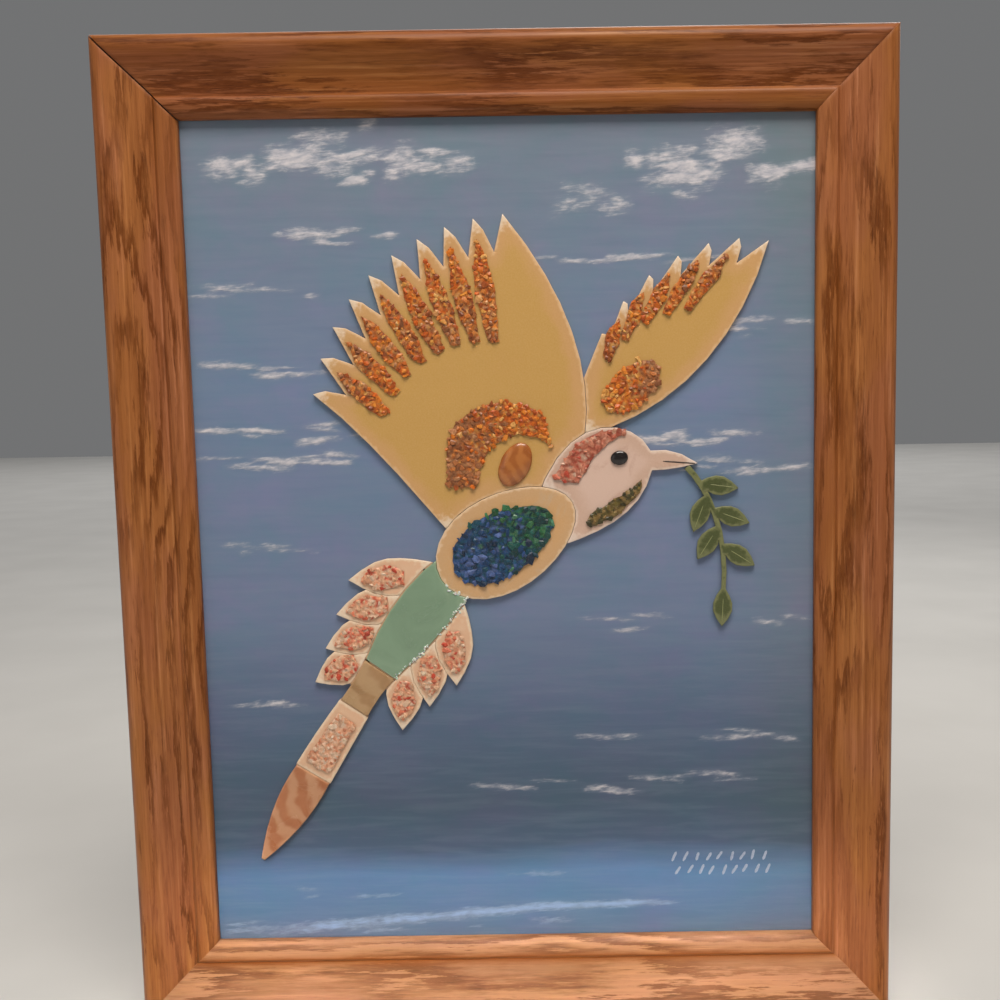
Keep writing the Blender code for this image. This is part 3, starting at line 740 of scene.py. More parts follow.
def cloud_strokes():
    """Brush strokes as (x, z, half length, half height, slant, strength), in patches and in rows."""
    chance = random.Random(11)
    strokes = []

    def add_stroke(x, z, half_long, half_tall, slant, strength, weakest):
        strokes.append((
            x,
            z,
            chance.uniform(*half_long),
            chance.uniform(*half_tall),
            chance.uniform(-slant, slant),
            strength * chance.uniform(weakest, 1.0),
        ))

    for x, z, wide, tall, count, strength in CLOUD_PATCHES:
        for _ in range(count):
            spot = (x + chance.gauss(0, wide / 2.4), z + chance.gauss(0, tall / 2.4))
            add_stroke(*spot, (0.005, 0.017), (0.0016, 0.0046), 0.22, strength, 0.6)
    for z, left, right, count, strength in CLOUD_ROWS:
        for _ in range(count):
            spot = (chance.uniform(left, right), z + chance.gauss(0, 0.0020))
            add_stroke(*spot, (0.004, 0.020), (0.0007, 0.0017), 0.10, strength, 0.55)
    return strokes


def wave_line(x, z):
    """The white crest painted along the sea band, rising to the right."""
    crest = -0.4095 + 0.0030 * math.sin(x * 19 + 0.8) + 0.030 * (x + 0.02)
    share = min(1.0, max(0.0, (x + 0.13) / 0.20))
    off = (z - crest) / (0.0034 - 0.0020 * share)
    reach = min(1.0, max(0.0, (x + 0.145) / 0.05)) * min(1.0, max(0.0, (0.085 - x) / 0.03))
    return (0.44 + 0.40 * share) * reach * math.exp(-off * off)


def make_board():
    """The painted board: a dense front that carries the brushwork, and a pressed-fibre back."""
    columns, rows = BOARD_COLUMNS, BOARD_ROWS
    xs = np.linspace(board_low.x, board_high.x, columns + 1)
    zs = np.linspace(board_low.z, board_high.z, rows + 1)
    grid_x, grid_z = np.meshgrid(xs, zs)
    cloud = np.zeros_like(grid_x)
    for x, z, half_long, half_tall, slant, strength in cloud_strokes():
        off_x = (grid_x - x) / half_long
        off_z = (grid_z - z - slant * (grid_x - x)) / half_tall
        lens = np.clip(1 - off_x**2, 0, 1) * np.exp(-(off_z**2))
        cloud = np.maximum(cloud, strength * lens)
    cloud = np.maximum(cloud, np.array([[wave_line(x, z) for x in xs] for z in zs]))
    vertices = []
    for row, z in enumerate(zs):
        for column, x in enumerate(xs):
            lift = 0.0
            if 0 < column < columns and 0 < row < rows:
                bristle = noise_at(x * 60, 4.0, z * 900)
                lift = cloud[row, column] * (0.00007 + 0.00005 * bristle) + 0.00002 * bristle
            vertices.append((x, board_low.y - lift, z))
    wide = columns + 1
    faces = joined_rows(rows + 1, wide, closed=False)
    front_faces = len(faces)
    rim = list(range(wide))
    rim += [row * wide + columns for row in range(1, rows + 1)]
    rim += [rows * wide + column for column in range(columns - 1, -1, -1)]
    rim += [row * wide for row in range(rows - 1, 0, -1)]
    back = list(range(len(vertices), len(vertices) + len(rim)))
    vertices += [(vertices[index][0], board_high.y, vertices[index][2]) for index in rim]
    sides = rim + back
    faces += [[sides[index] for index in face] for face in joined_rows(2, len(rim))] + [back]
    mesh = closed_mesh("painted_board", vertices, faces, 30)
    set_values(mesh, "cloud", list(cloud.ravel()) + [0.0] * len(back))
    looks = [sky_look(), hardboard_look()]
    board = linked("painted_board", mesh, looks, ["picture_board"])
    places = [0] * front_faces + [1] * (len(mesh.polygons) - front_faces)
    mesh.polygons.foreach_set("material_index", places)
    return board


# Outlines


def signed_area(outline):
    return sum(a[0] * b[1] - b[0] * a[1] for a, b in zip(outline, outline[1:] + outline[:1])) / 2


def flat_outline(node_name):
    """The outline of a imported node's largest flat face on its wall side."""
    work = bmesh.new()
    work.from_mesh(nodes[node_name].data)
    bmesh.ops.remove_doubles(work, verts=work.verts, dist=2e-6)
    bmesh.ops.dissolve_limit(work, angle_limit=math.radians(1.0), verts=work.verts, edges=work.edges)
    facing = [face for face in work.faces if face.normal.y > 0.98]
    largest = max(facing, key=lambda face: face.calc_area())
    points = [(vertex.co.x, vertex.co.z) for vertex in largest.verts]
    work.free()
    return points if signed_area(points) > 0 else points[::-1]


def between(a, b, share):
    return (a[0] + (b[0] - a[0]) * share, a[1] + (b[1] - a[1]) * share)


def moved(spot, way, distance):
    return (spot[0] + way[0] * distance, spot[1] + way[1] * distance)


def turned(a, b, turn):
    """The place (a, b) turned about the origin, anticlockwise."""
    return (a * math.cos(turn) - b * math.sin(turn), a * math.sin(turn) + b * math.cos(turn))


def walked(outline, spacing):
    """The outline with extra points, so that no step is much longer than spacing. Corners stay."""
    points = []
    for a, b in zip(outline, outline[1:] + outline[:1]):
        steps = max(1, round(math.dist(a, b) / spacing))
        points += [between(a, b, n / steps) for n in range(steps)]
    return points


def edge_distances(points, outline):
    """Each point's distance to the outline, and True where it lies inside."""
    spots = np.asarray(points, float)
    start = np.asarray(outline, float)
    step = np.roll(start, -1, axis=0) - start
    length = np.maximum((step**2).sum(1), 1e-18)
    nearest = np.empty(len(spots))
    within = np.empty(len(spots), bool)
    for first in range(0, len(spots), 2000):
        part = spots[first : first + 2000, None, :]
        share = np.clip(((part - start) * step).sum(2) / length, 0, 1)
        gap = part - (start + share[..., None] * step)
        nearest[first : first + 2000] = np.sqrt((gap**2).sum(2)).min(1)
        rises = (start[:, 1] > part[..., 1]) != (np.roll(start, -1, axis=0)[:, 1] > part[..., 1])
        slope = np.where(np.abs(step[:, 1]) < 1e-12, 1e-12, step[:, 1])
        crossing = start[:, 0] + (part[..., 1] - start[:, 1]) / slope * step[:, 0]
        hits = (rises & (part[..., 0] < crossing)).sum(1)
        within[first : first + 2000] = hits % 2 == 1
    return nearest, within


def well_inside(spots, outline, margin):
    """Those of the spots that lie inside the outline, further than margin from it."""
    gaps, within = edge_distances(spots, outline)
    return [spot for spot, gap, ok in zip(spots, gaps, within) if ok and gap > margin]


def normals_in(outline):
    """At each point of the outline, the unit step to its inside."""
    found = []
    for index in range(len(outline)):
        before = outline[index - 1]
        after = outline[(index + 1) % len(outline)]
        step = (after[0] - before[0], after[1] - before[1])
        length = math.hypot(*step) or 1.0
        found.append((-step[1] / length, step[0] / length))
    return found


def sharp_corners(outline):
    """Outline points, anticlockwise, where the piece comes to a narrow tip."""
    found = []
    for before, spot, after in zip(outline[-1:] + outline[:-1], outline, outline[1:] + outline[:1]):
        into = math.atan2(spot[1] - before[1], spot[0] - before[0])
        out = math.atan2(after[1] - spot[1], after[0] - spot[0])
        bend = (out - into + math.pi) % (2 * math.pi) - math.pi
        if bend > math.radians(95):
            found.append(spot)
    return found


def triangulated(outline, inner):
    """Flat points and triangles that fill the outline, and the given points that each of them stands for."""
    spots = [Vector(spot) for spot in outline + inner]
    border = [(index, (index + 1) % len(outline)) for index in range(len(outline))]
    flat, _, triangles, originals, _, _ = delaunay_2d_cdt(spots, border, [], 1, 1e-7)
    return flat, triangles, originals


def along_line(points, count):
    """Points evenly spread along a broken line."""
    lengths = [math.dist(a, b) for a, b in zip(points, points[1:])]
    found = []
    for step in range(count):
        want = sum(lengths) * step / (count - 1)
        index = 0
        while index < len(lengths) - 1 and want > lengths[index]:
            want -= lengths[index]
            index += 1
        found.append(between(points[index], points[index + 1], min(1.0, want / lengths[index])))
    return found


# Cut plates and stones


def cut_piece(name, outline, back, front, rounding, wobble, undulation, seed):
    """A flat cut piece with a hand-cut outline, a rounded front edge and a slightly uneven face.

    Its edge attribute is 1 at the cut edge and 0 from EDGE_REACH inside, deep is 1 from DEEP_REACH inside,
    and tip is 1 at the end of each narrow tip and 0 from DEEP_REACH off.
    """
    dense = walked(outline, OUTLINE_STEP)
    cut = []
    for (x, z), inner in zip(dense, normals_in(dense)):
        shift = wobble * (0.5 + 0.5 * noise_at(x * 300, z * 300, seed)) - GAP_CLOSING
        shift += wobble * 0.5 * abs(noise_at(x * 900, z * 900, seed + 9))
        cut.append(moved((x, z), inner, shift))
    inside = []
    for inset in (0.22, 0.55, 1.0):
        wanted = inset * rounding
        ring = [moved(spot, inner, wanted) for spot, inner in zip(cut, normals_in(cut))]
        inside += well_inside(ring, cut, 0.93 * wanted)
    xs, zs = zip(*cut)
    left, foot = min(xs), min(zs)
    chance = random.Random(seed)
    field = []
    for row in range(int((max(zs) - foot) / FACE_STEP) + 1):
        for column in range(int((max(xs) - left) / FACE_STEP) + 1):
            field.append((
                left + FACE_STEP * (column + 0.5 * (row % 2) + chance.uniform(-0.2, 0.2)),
                foot + FACE_STEP * (row + chance.uniform(-0.2, 0.2)),
            ))
    inside += well_inside(field, cut, rounding * 1.3)
    flat, triangles, originals = triangulated(cut, inside)
    gaps, _ = edge_distances([(spot.x, spot.y) for spot in flat], cut)
    corners = sharp_corners(outline)
    work = bmesh.new()
    tops = []
    edge_values, deep_values, tip_values = [], [], []
    for spot, gap, sources in zip(flat, gaps, originals):
        on_rim = any(index < len(cut) for index in sources)
        reach = 0.0 if on_rim else min(gap, rounding)
        drop = rounding - math.sqrt(max(0.0, rounding**2 - (rounding - reach) ** 2))
        uneven = undulation * noise_at(spot.x * 120, spot.y * 120, seed * 1.7)
        uneven -= undulation if reach > 0 else 0.0
        tops.append(work.verts.new((spot.x, -(front - drop + uneven), spot.y)))
        nearest = min((math.dist(spot, corner) for corner in corners), default=1.0)
        edge_values.append(1.0 if on_rim else max(0.0, 1.0 - gap / EDGE_REACH))
        deep_values.append(min(1.0, gap / DEEP_REACH))
        tip_values.append(max(0.0, 1.0 - nearest / DEEP_REACH))
    add_faces(work, tops, triangles)
    close_behind(work, back)
    mesh = finished_mesh(name, work, 50)
    at_foot = len(mesh.vertices) - len(tops)
    set_values(mesh, "edge", edge_values + [1.0] * at_foot)
    set_values(mesh, "deep", deep_values + [0.0] * at_foot)
    set_values(mesh, "tip", tip_values + [0.0] * at_foot)
    return mesh


def dress_plate(node_name, material, slot, rounding=ROUNDING, wobble=WOBBLE, undulation=UNDULATION):
    """A cut piece in the place of a packed plate or slab."""
    low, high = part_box(node_name)
    name = node_name + "_cut"
    seed = sum(map(ord, node_name))
    outline = flat_outline(node_name)
    mesh = cut_piece(name, outline, -high.y, -low.y, rounding, wobble, undulation, seed)
    return linked(name, mesh, [material], [node_name])


def chip_shape(chance, radius, height):
    """Corner points of one crushed stone: a flattened lump with broken corners."""
    points = []
    lengthen = chance.uniform(0.75, 1.35)
    turn = chance.uniform(0, math.pi)
    for _ in range(chance.randint(9, 13)):
        up = chance.uniform(-0.55, 1.0)
        around = chance.uniform(0, 2 * math.pi)
        flat = math.sqrt(max(0.0, 1 - up * up)) * chance.uniform(0.82, 1.0)
        a = math.cos(around) * flat * radius * lengthen
        b = math.sin(around) * flat * radius / lengthen
        x, z = turned(a, b, turn)
        points.append(Vector((x, -up * height, z)))
    return points


def scattered(outline, spacing, margin, chance):
    """Places inside the outline, at least a spacing apart and margin in from its edge, by dart throwing."""
    xs, zs = zip(*outline)
    tries = int(signed_area(outline) / spacing**2 * 60) + 200
    darts = [(chance.uniform(min(xs), max(xs)), chance.uniform(min(zs), max(zs))) for _ in range(tries)]
    kept = []
    cells = {}
    for spot in well_inside(darts, outline, margin):
        column, row = int(spot[0] // spacing), int(spot[1] // spacing)
        around = [(column + i, row + j) for i in (-1, 0, 1) for j in (-1, 0, 1)]
        if any(math.dist(spot, other) < spacing for cell in around for other in cells.get(cell, ())):
            continue
        cells.setdefault((column, row), []).append(spot)
        kept.append(spot)
    return kept


def shaded(colour, shade):
    """An sRGB colour as a linear one, made darker or lighter."""
    return (*[value * shade for value in linear(colour)[:3]], 1.0)


def make_bed(node_name, slot, palette, spacing, size, tall=0.0014, pick=None, fines=(0.66, 1.0), inset=0.55):
    """Separate crushed stones set over a bed of fines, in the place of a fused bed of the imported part.

    Spacing parts the stones, size and tall are their radius and height, and inset is how far they keep from
    the bed's edge, as a share of size. Pick chooses colours by place, and fines is the fines' range of shade.
    """
    outline = flat_outline(node_name)
    chance = random.Random(node_name)
    work = bmesh.new()
    colours = work.verts.layers.float_color.new("chip_colour")

    def stone_colour(x, z):
        return pick(x, z, chance) if pick else chance.choice(palette)

    rim = walked(outline, FINES_STEP)
    ragged = [
        (s[0] + n[0] * chance.uniform(0.0, FINES_RAGGED), s[1] + n[1] * chance.uniform(0.0, FINES_RAGGED))
        for s, n in zip(rim, normals_in(rim))
    ]
    flat, triangles, _ = triangulated(ragged, scattered(ragged, FINES_STEP, FINES_STEP / 2, chance))
    tops = []
    for index, spot in enumerate(flat):
        rise = FINES_RIM_RISE if index < len(ragged) else chance.uniform(*FINES_RISE)
        vertex = work.verts.new((spot.x, -(BED_BACK + rise), spot.y))
        shade = chance.uniform(*fines)
        vertex[colours] = shaded(stone_colour(spot.x, spot.y), shade)
        tops.append(vertex)
    add_faces(work, tops, triangles)
    # The fines' walls darken to their foot: painted shade where the bed meets the plate
    for vertex in close_behind(work, BED_BACK):
        vertex[colours] = shaded(palette[0], 0.4)

    for x, z in scattered(outline, spacing, size * inset, chance):
        radius = size * (chance.uniform(1.4, 1.7) if chance.random() < 0.10 else chance.uniform(0.72, 1.22))
        height = tall * chance.uniform(0.62, 1.0)
        tone = stone_colour(x, z)
        colour = [min(1.0, value) for value in shaded(tone, chance.uniform(0.78, 1.12))]
        lean_x = Matrix.Rotation(chance.gauss(0, CHIP_LEAN), 3, "X")
        lean = lean_x @ Matrix.Rotation(chance.gauss(0, CHIP_LEAN), 3, "Z")
        middle = Vector((x, -(BED_BACK + 0.35 * height + 0.0001), z))
        shape = chip_shape(chance, radius / CHIP_SQUASH, height)
        corners = [work.verts.new(middle + lean @ point * CHIP_SQUASH) for point in shape]
        for vertex in corners:
            vertex.co.y = min(vertex.co.y, -BED_BACK)
            vertex[colours] = colour
        hull = bmesh.ops.convex_hull(work, input=corners, use_existing_faces=False)
        spare = hull["geom_interior"] + hull["geom_unused"]
        loose = {item for item in spare if isinstance(item, bmesh.types.BMVert)}
        bmesh.ops.delete(work, geom=list(loose), context="VERTS")
    mesh = finished_mesh(node_name + "_stones", work)
    return linked(node_name + "_stones", mesh, [stones[slot]], [node_name])


def blended(node_name, first, second, angle_deg, middle=0.5, spread=0.14):
    """A choice of stone that passes from one palette to another across a bed, in a given direction."""
    low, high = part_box(node_name)
    step = (math.cos(math.radians(angle_deg)), math.sin(math.radians(angle_deg)))
    reach = abs(step[0]) * (high.x - low.x) + abs(step[1]) * (high.z - low.z)

    def pick(x, z, chance):
        off = (x - (low.x + high.x) / 2) * step[0] + (z - (low.z + high.z) / 2) * step[1]
        share = 0.5 + off / reach
        return chance.choice(second if share + chance.gauss(0, spread) > middle else first)

    return pick


def make_dome(node_name, material, sides, rings, lumpiness):
    """A polished cabochon in the place of a faceted one."""
    low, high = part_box(node_name)
    source = [vertex.co for vertex in nodes[node_name].data.vertices]
    foot = [(v.x, v.z) for v in source if v.y > high.y - 1e-5]
    centre = ((low.x + high.x) / 2, (low.z + high.z) / 2)
    far = max(foot, key=lambda spot: math.dist(spot, centre))
    axis = math.atan2(far[1] - centre[1], far[0] - centre[0])
    half_long = math.dist(far, centre)
    half_wide = max(abs(turned(s[0] - centre[0], s[1] - centre[1], -axis)[1]) for s in foot)
    height = high.y - low.y
    vertices = []
    for ring in range(rings):
        rise = math.pi / 2 * ring / rings
        narrowing = math.cos(rise) ** 0.8
        for side in range(sides):
            around = 2 * math.pi * side / sides
            swell = 1 + lumpiness * noise_at(math.cos(around) * 2, math.sin(around) * 2, rise)
            wide = narrowing * min(1.0, swell)
            x, z = turned(half_long * math.cos(around) * wide, half_wide * math.sin(around) * wide, axis)
            vertices.append((centre[0] + x, high.y - height * math.sin(rise), centre[1] + z))
    vertices.append((centre[0], low.y, centre[1]))
    faces = [range(sides)] + joined_rows(rings, sides)
    top = len(vertices) - 1
    last = (rings - 1) * sides
    faces += [(last + side, last + (side + 1) % sides, top) for side in range(sides)]
    mesh = closed_mesh(node_name + "_polished", vertices, faces, 50)
    set_values(mesh, "edge", [0.0] * len(mesh.vertices))
    return linked(node_name + "_polished", mesh, [material], [node_name])


# Painted lines and glue


def ribbon(work, line, half_width, back, front, chance, shoulder):
    """One painted line or dab in a growing mesh: a thin closed strip with uneven sides."""
    corners = []
    last = len(line) - 1
    high = back + (front - back) * shoulder
    for index, spot in enumerate(line):
        before = line[max(index - 1, 0)]
        after = line[min(index + 1, last)]
        length = math.dist(before, after)
        across = (-(after[1] - before[1]) / length, (after[0] - before[0]) / length)
        wide = half_width * (0.45 if index in (0, last) else 1.0)
        left = moved(spot, across, wide * chance.uniform(0.82, 1.1))
        right = moved(spot, across, -wide * chance.uniform(0.82, 1.1))
        near_left, near_right = between(left, spot, 0.3), between(right, spot, 0.3)
        strip = ((left, back), (near_left, high), (spot, front), (near_right, high), (right, back))
        corners += [work.verts.new((x, -forward, z)) for (x, z), forward in strip]
    ends = [range(5), range(len(corners) - 5, len(corners))]
    add_faces(work, corners, joined_rows(len(line), 5) + ends)


def painted(name, lines, half_width, back, front, material, seed, shoulder=LINE_SHOULDER):
    """Several painted lines as one thin piece."""
    chance = random.Random(seed)
    work = bmesh.new()
    for line in lines:
        ribbon(work, line, half_width, back, front, chance, shoulder)
    return linked(name, finished_mesh(name, work, 60), [material])


def beak_line():
    """The dark line along the beak, from just behind its tip."""
    tip = max(flat_outline("head_plate"), key=lambda spot: spot[0])
    return along_line([(tip[0] - 0.0012, tip[1] - 0.0001), (tip[0] - 0.0165, tip[1] + 0.0012)], 14)


def leaf_ribs():
    """The middle rib of each leaf, drawn from its tip down its length."""
    outline = flat_outline("twig")
    ribs = []
    for tip in sharp_corners(outline):
        nearby = [spot for spot in walked(outline, 0.0005) if 0.002 < math.dist(spot, tip) < 0.003]
        inward = sum((Vector(spot) - Vector(tip) for spot in nearby), Vector((0.0, 0.0))).normalized()
        ends = [moved(tip, inward, reach) for reach in RIB_REACHES]
        gaps, within = edge_distances(ends, outline)
        if within.all() and gaps[1] > 0.0012:
            ribs.append(along_line([ends[0], ends[2]], 9))
    return ribs


def seam_lines(slab_name, neighbours):
    """The stretches of a slab's outline, moved into the gap, where another plate lies beside it."""
    dense = walked(flat_outline(slab_name), 0.0010)
    beside = np.zeros(len(dense), bool)
    for neighbour in neighbours:
        gaps, _ = edge_distances(dense, flat_outline(neighbour))
        beside |= gaps < SEAM_REACH
    runs = [[]]
    for spot, inner, close in zip(dense, normals_in(dense), beside):
        if close:
            runs[-1].append(moved(spot, inner, -SEAM_OFFSET))
        else:
            runs.append([])
    return [run for run in runs if len(run) > 2]


def corner_dabs():
    """Two rows of plain slanted strokes, in the lower right corner of the board."""
    chance = random.Random(21)
    dabs = []
    for row, height in enumerate(DAB_ROWS):
        for place in range(DAB_COUNT):
            x = DAB_LEFT + DAB_PITCH * place + DAB_INDENT * row + chance.uniform(-0.0006, 0.0006)
            half = chance.uniform(0.0019, 0.0026)
            lean = chance.uniform(0.0006, 0.0014)
            z = height + chance.uniform(-0.0005, 0.0005)
            dabs.append(along_line([(x - lean, z - half), (x + lean, z + half)], 7))
    return dabs


def make_squeezed_glue():
    """Whitish lumps of glue squeezed out along the lower right side of the green slab."""
    dense = walked(flat_outline("tail_green_slab"), 0.0005)
    chance = random.Random(31)
    work = bmesh.new()
    for spot, inner in zip(dense, normals_in(dense)):
        cluster = noise_at(spot[0] * 110, spot[1] * 110, 2.0)
        if inner[0] > -0.45 or chance.random() > 0.42 + 1.6 * cluster:
            continue
        radius = chance.uniform(0.00022, 0.00062) * (1.5 if chance.random() < 0.12 else 1.0)
        out = chance.gauss(0.0001, 0.0005)
        level = SLAB_FRONT if out < 0.0001 else PLATE_FRONT
        x, z = moved(spot, inner, -out)
        sizes = (chance.uniform(0.8, 1.2), chance.uniform(0.5, 0.7), chance.uniform(0.9, 1.9), 1.0)
        lean = Matrix.Rotation(math.atan2(inner[1], inner[0]) + chance.gauss(0, 0.5), 4, "Y")
        place = Matrix.Translation((x, -level, z)) @ lean @ Matrix.Diagonal(sizes)
        made = bmesh.ops.create_icosphere(work, subdivisions=2, radius=radius, matrix=place)
        for vertex in made["verts"]:
            vertex.co += (vertex.co - place.translation) * noise.noise(vertex.co * 2600) * 0.35
            vertex.co.y = min(vertex.co.y, -(level - 0.0004))
    mesh = finished_mesh("squeezed_glue", work)
    mesh.shade_smooth()
    return linked("squeezed_glue", mesh, [glue_look()])


# The scene

for item in list(bpy.data.objects):
    if item.type in ("LIGHT", "CAMERA"):
        bpy.data.objects.remove(item)

# The sawn mitre faces, where the stain has soaked in, and the glue and stain that fill the closed mitres
end_grain = plain_look("end_grain", 1800.0, (96, 50, 22), (124, 68, 34), roughness=0.7)
joint_glue = plain_look("joint_glue", 900.0, (148, 88, 44), (172, 106, 60), roughness=0.55)

# Each rail's name, seed, tone and paleness with painted shade and light, flame pace, dark ring end, and
# groove shade
make_rail("rail_top", 1, 0.82, 0.0, 3.2, 0.66, 0.0)
make_rail("rail_right", 2, 0.97, 0.03, 5.5, 0.66, 0.1)
make_rail("rail_bottom", 3, 0.89, 0.26, 6.5, 0.88, 1.0)
make_rail("rail_left", 4, 0.97, 0.03, 5.5, 0.66, 0.1)
for side_x, side_z in ((1, 1), (1, -1), (-1, -1)):
    make_joint_glue(side_x, side_z)

make_board()

cream = plate_look(
    "cream_plate_face", (216, 168, 114), (212, 168, 120), (236, 206, 170), (234, 206, 172),
    streak=(204, 180, 150),
)
peach = plate_look("peach_plate_face", (238, 200, 166), (234, 188, 152), (244, 220, 190), (246, 224, 198))
bone = plate_look(
    "bone_plate_face", (225, 192, 174), (214, 178, 156), (236, 212, 194), (236, 214, 198), 0.34,
    streak=(196, 150, 126),
)
tan = plate_look("tan_plate_face", (205, 160, 87), (212, 163, 106), (232, 194, 150), (242, 218, 190))
leaf = plate_look("leaf_plate_face", (84, 92, 54), (76, 84, 46), (132, 134, 90), (120, 124, 84), 0.36)
green = polished_look("green_slab_face", (136, 165, 136), (122, 150, 122), (164, 182, 152), 40.0)
khaki = polished_look("khaki_slab_face", (182, 139, 95), (162, 124, 80), (200, 164, 120), 70.0, bands=420.0)
agate = polished_look("agate_face", (176, 102, 46), (156, 86, 34), (198, 126, 64), 80.0, bands=900.0)
tip_agate = polished_look(
    "plume_agate_face", (192, 124, 82), (174, 104, 60), (214, 164, 124), 60.0, bands=420.0
)

left_feathers = [f"tail_left_feather_{number}" for number in range(1, 5)]
right_feathers = [f"tail_right_feather_{number}" for number in range(1, 4)]
dress_plate("body_plate", cream, "cream_plate")
for plate_name in ["plume_speckled_plate"] + left_feathers + right_feathers:
    dress_plate(plate_name, peach, "cream_plate")
dress_plate("head_plate", bone, "bone_plate")
for plate_name in ("near_wing_plate", "far_wing_plate"):
    dress_plate(plate_name, tan, "tan_plate")
dress_plate("twig", leaf, "leaf_stone", wobble=WOBBLE / 2)
dress_plate("tail_green_slab", green, "green_stone", **SLAB_FINISH)
dress_plate("plume_khaki_slab", khaki, "khaki_stone", **SLAB_FINISH)
dress_plate("plume_agate_tip", tip_agate, "agate", rounding=0.0007, **SLAB_FINISH)

stones = {
    "amber_stone": stone_look("amber_chips", 0.2),
    "pink_stone": stone_look("pink_chips", 0.1),
    "blue_stone": stone_look("blue_chips", 0.12),
    "olive_stone": stone_look("olive_chips", 0.15),
}
body_pick = blended("body_chips", BLUES, GREENS, 35, 0.58)
make_bed("body_chips", "blue_stone", BLUES, 0.0029, 0.0021, pick=body_pick, inset=0.1)
make_bed("nape_chips", "pink_stone", ROSE, 0.0022, 0.0015, 0.0011)
make_bed("throat_chips", "olive_stone", OLIVE, 0.0020, 0.0013, 0.0011)
for side, first, second, middle in (("near", MAUVE, AMBER, 0.36), ("far", AMBER, MAUVE, 0.66)):
    bed_name = side + "_shoulder_chips"
    pick = blended(bed_name, first, second, 0, middle)
    make_bed(bed_name, "amber_stone", AMBER, 0.0022, 0.0015, pick=pick, inset=0.0)
for number in range(1, 9):
    bed_name = f"near_feather_chips_{number}"
    pick = blended(bed_name, RUSSET + MAUVE, AMBER, 40 * number, 0.5, 0.2)
    make_bed(bed_name, "amber_stone", RUSSET, 0.0021, 0.00145, pick=pick)
for number in range(1, 6):
    bed_name = f"far_feather_chips_{number}"
    pick = blended(bed_name, AMBER, RUSSET + MAUVE, 40 * number, 0.5, 0.2)
    make_bed(bed_name, "amber_stone", RUSSET, 0.0020, 0.00135, pick=pick)
for feather in left_feathers + right_feathers:
    make_bed(feather + "_chips", "pink_stone", PINK, 0.0021, 0.0015, 0.0011, fines=(0.85, 1.1))
make_bed("plume_chips", "pink_stone", PALE_PINK, 0.0021, 0.0015, 0.0010, fines=(0.85, 1.1))

jet = plain_look("jet_bead", 500.0, (20, 17, 17), (38, 30, 28), roughness=0.16, coat=0.5, coat_roughness=0.05)
make_dome("wing_agate", agate, 48, 12, 0.04)
make_dome("eye_bead", jet, 40, 10, 0.0)

# Fine lines: the beak, the leaves' ribs, glue beside the tail's slabs, and strokes in the lower right corner
ink = line_look("ink_line", (38, 26, 20), (88, 62, 48))
rib_paint = line_look("leaf_rib", (146, 150, 100), (104, 110, 68))
seam_glue = line_look("glue_seam", (208, 168, 132), (178, 138, 104))
dab_white = line_look("dab_white", (172, 178, 196), (138, 150, 172))
line_back = PLATE_FRONT - LINE_FOOT
painted("beak_line", [beak_line()], BEAK_HALF, line_back, PLATE_FRONT + BEAK_RISE, ink, 3)
painted("leaf_ribs", leaf_ribs(), RIB_HALF, line_back, PLATE_FRONT + RIB_RISE, rib_paint, 5)
seams = seam_lines("tail_green_slab", left_feathers + right_feathers + ["plume_khaki_slab"])
seams += seam_lines("plume_khaki_slab", left_feathers[3:] + right_feathers[2:] + ["plume_speckled_plate"])
seams += seam_lines("plume_agate_tip", ["plume_speckled_plate"])
seam_front = PLATE_FRONT - SEAM_SINK
painted("glue_seams", seams, SEAM_HALF, BOARD_FRONT, seam_front, seam_glue, 12, SEAM_SHOULDER)
make_squeezed_glue()
dab_back, dab_front = BOARD_FRONT - DAB_RISE, BOARD_FRONT + DAB_RISE
painted("corner_dabs", corner_dabs(), DAB_HALF, dab_back, dab_front, dab_white, 8)


# Camera, fitted to the frame's corners in the photograph

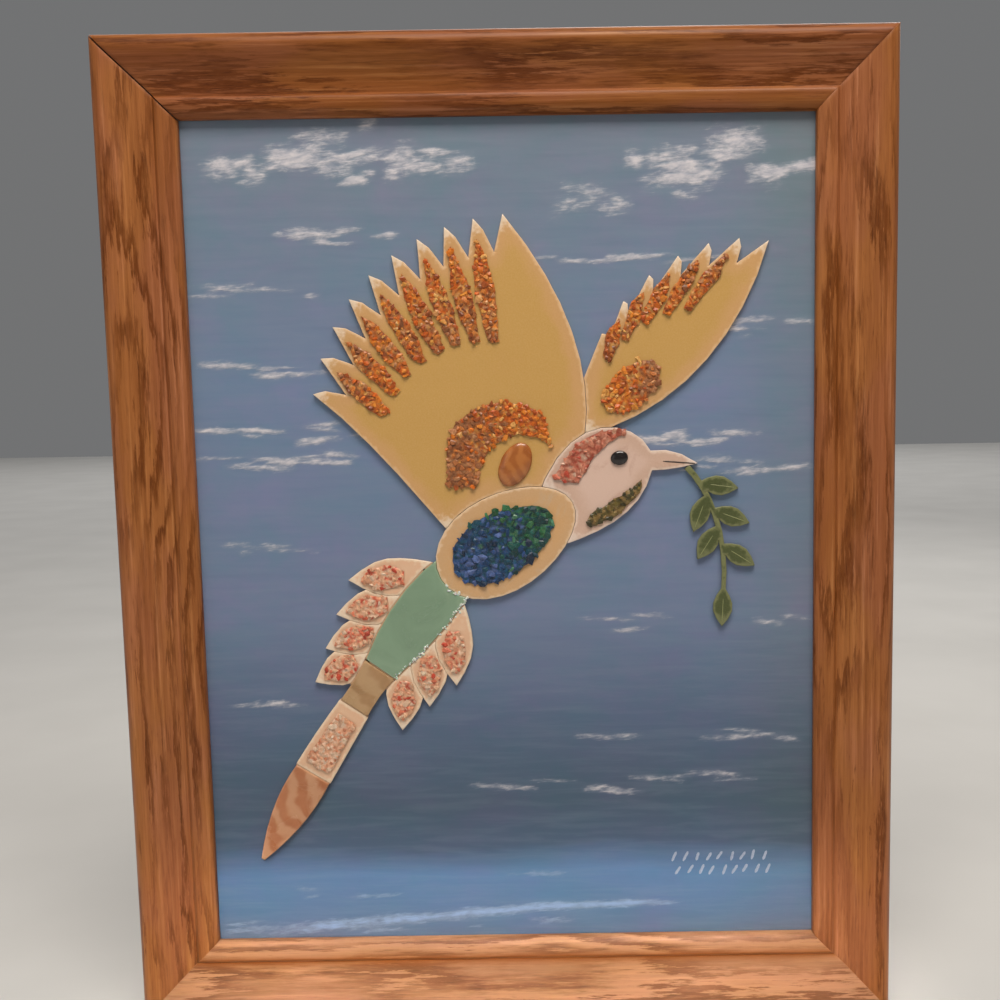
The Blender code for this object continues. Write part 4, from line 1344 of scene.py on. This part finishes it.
FOCAL_PIXELS = 1100.0
PICTURE_PIXELS = 1000.0
camera_data = bpy.data.cameras.new("camera")
camera_data.sensor_width = 36.0
camera_data.lens = FOCAL_PIXELS / PICTURE_PIXELS * camera_data.sensor_width
camera_data.shift_x = -88.3 / PICTURE_PIXELS
camera_data.shift_y = 8.4 / PICTURE_PIXELS
camera = bpy.data.objects.new("camera", camera_data)
bpy.context.scene.collection.objects.link(camera)
turn = (
    Matrix.Rotation(math.radians(0.003), 3, "Z")
    @ Matrix.Rotation(math.radians(-5.768), 3, "X")
    @ Matrix.Rotation(math.radians(0.886), 3, "Y")
)
right, forward, up = turn.col[0], turn.col[1], turn.col[2]
stance = Matrix((right, up, -forward)).transposed().to_4x4()
stance.translation = Vector((0.0396, -0.5364, -0.15265))
camera.matrix_world = stance
bpy.context.scene.camera = camera


# Studio


def area_light(name, place, target, size, power, colour, spread=180):
    data = bpy.data.lights.new(name, "AREA")
    data.shape = "RECTANGLE"
    data.size, data.size_y = size
    data.energy = power
    data.color = colour
    data.spread = math.radians(spread)
    light = bpy.data.objects.new(name, data)
    light.location = place
    light.rotation_euler = (Vector(target) - Vector(place)).to_track_quat("-Z", "Y").to_euler()
    bpy.context.scene.collection.objects.link(light)


area_light("key", (0.12, -0.74, 1.12), (0, 0, -0.2), (1.1, 0.6), 23.0, (1.0, 0.93, 0.85))
area_light("fill", (-1.3, -1.5, 0.1), (0, 0, -0.25), (1.2, 1.2), 1.6, (0.95, 0.97, 1.0))
area_light("low", (0.0, -0.70, 0.10), (0, 0.02, -0.462), (0.36, 0.05), 0.082, (1.0, 0.96, 0.90), spread=9)
area_light("rear", (0.5, 1.4, 0.9), (0, 0, -0.2), (1.4, 1.0), 9.0, (1.0, 0.98, 0.95))
area_light("ground", (0.0, 3.9, 2.6), (0.0, 3.9, -0.46), (6.0, 3.0), 90.0, (1.0, 0.99, 0.98))

world = bpy.data.worlds.new("studio")
world.use_nodes = True
world.node_tree.nodes["Background"].inputs["Color"].default_value = (0.88, 0.89, 0.90, 1.0)
world.node_tree.nodes["Background"].inputs["Strength"].default_value = 0.19
bpy.context.scene.world = world
bpy.context.scene.view_settings.view_transform = "Standard"

floor_mesh = bpy.data.meshes.new("floor")
floor_mesh.from_pydata([(-6, -6, 0), (6, -6, 0), (6, 6, 0), (-6, 6, 0)], [], [(0, 1, 2, 3)])
floor = bpy.data.objects.new("floor", floor_mesh)
floor.location.z = frame_low.z - 0.0005
floor_mesh.materials.append(plain_look("floor", 6.0, (206, 204, 200), (199, 197, 193), roughness=0.85))
bpy.context.scene.collection.objects.link(floor)
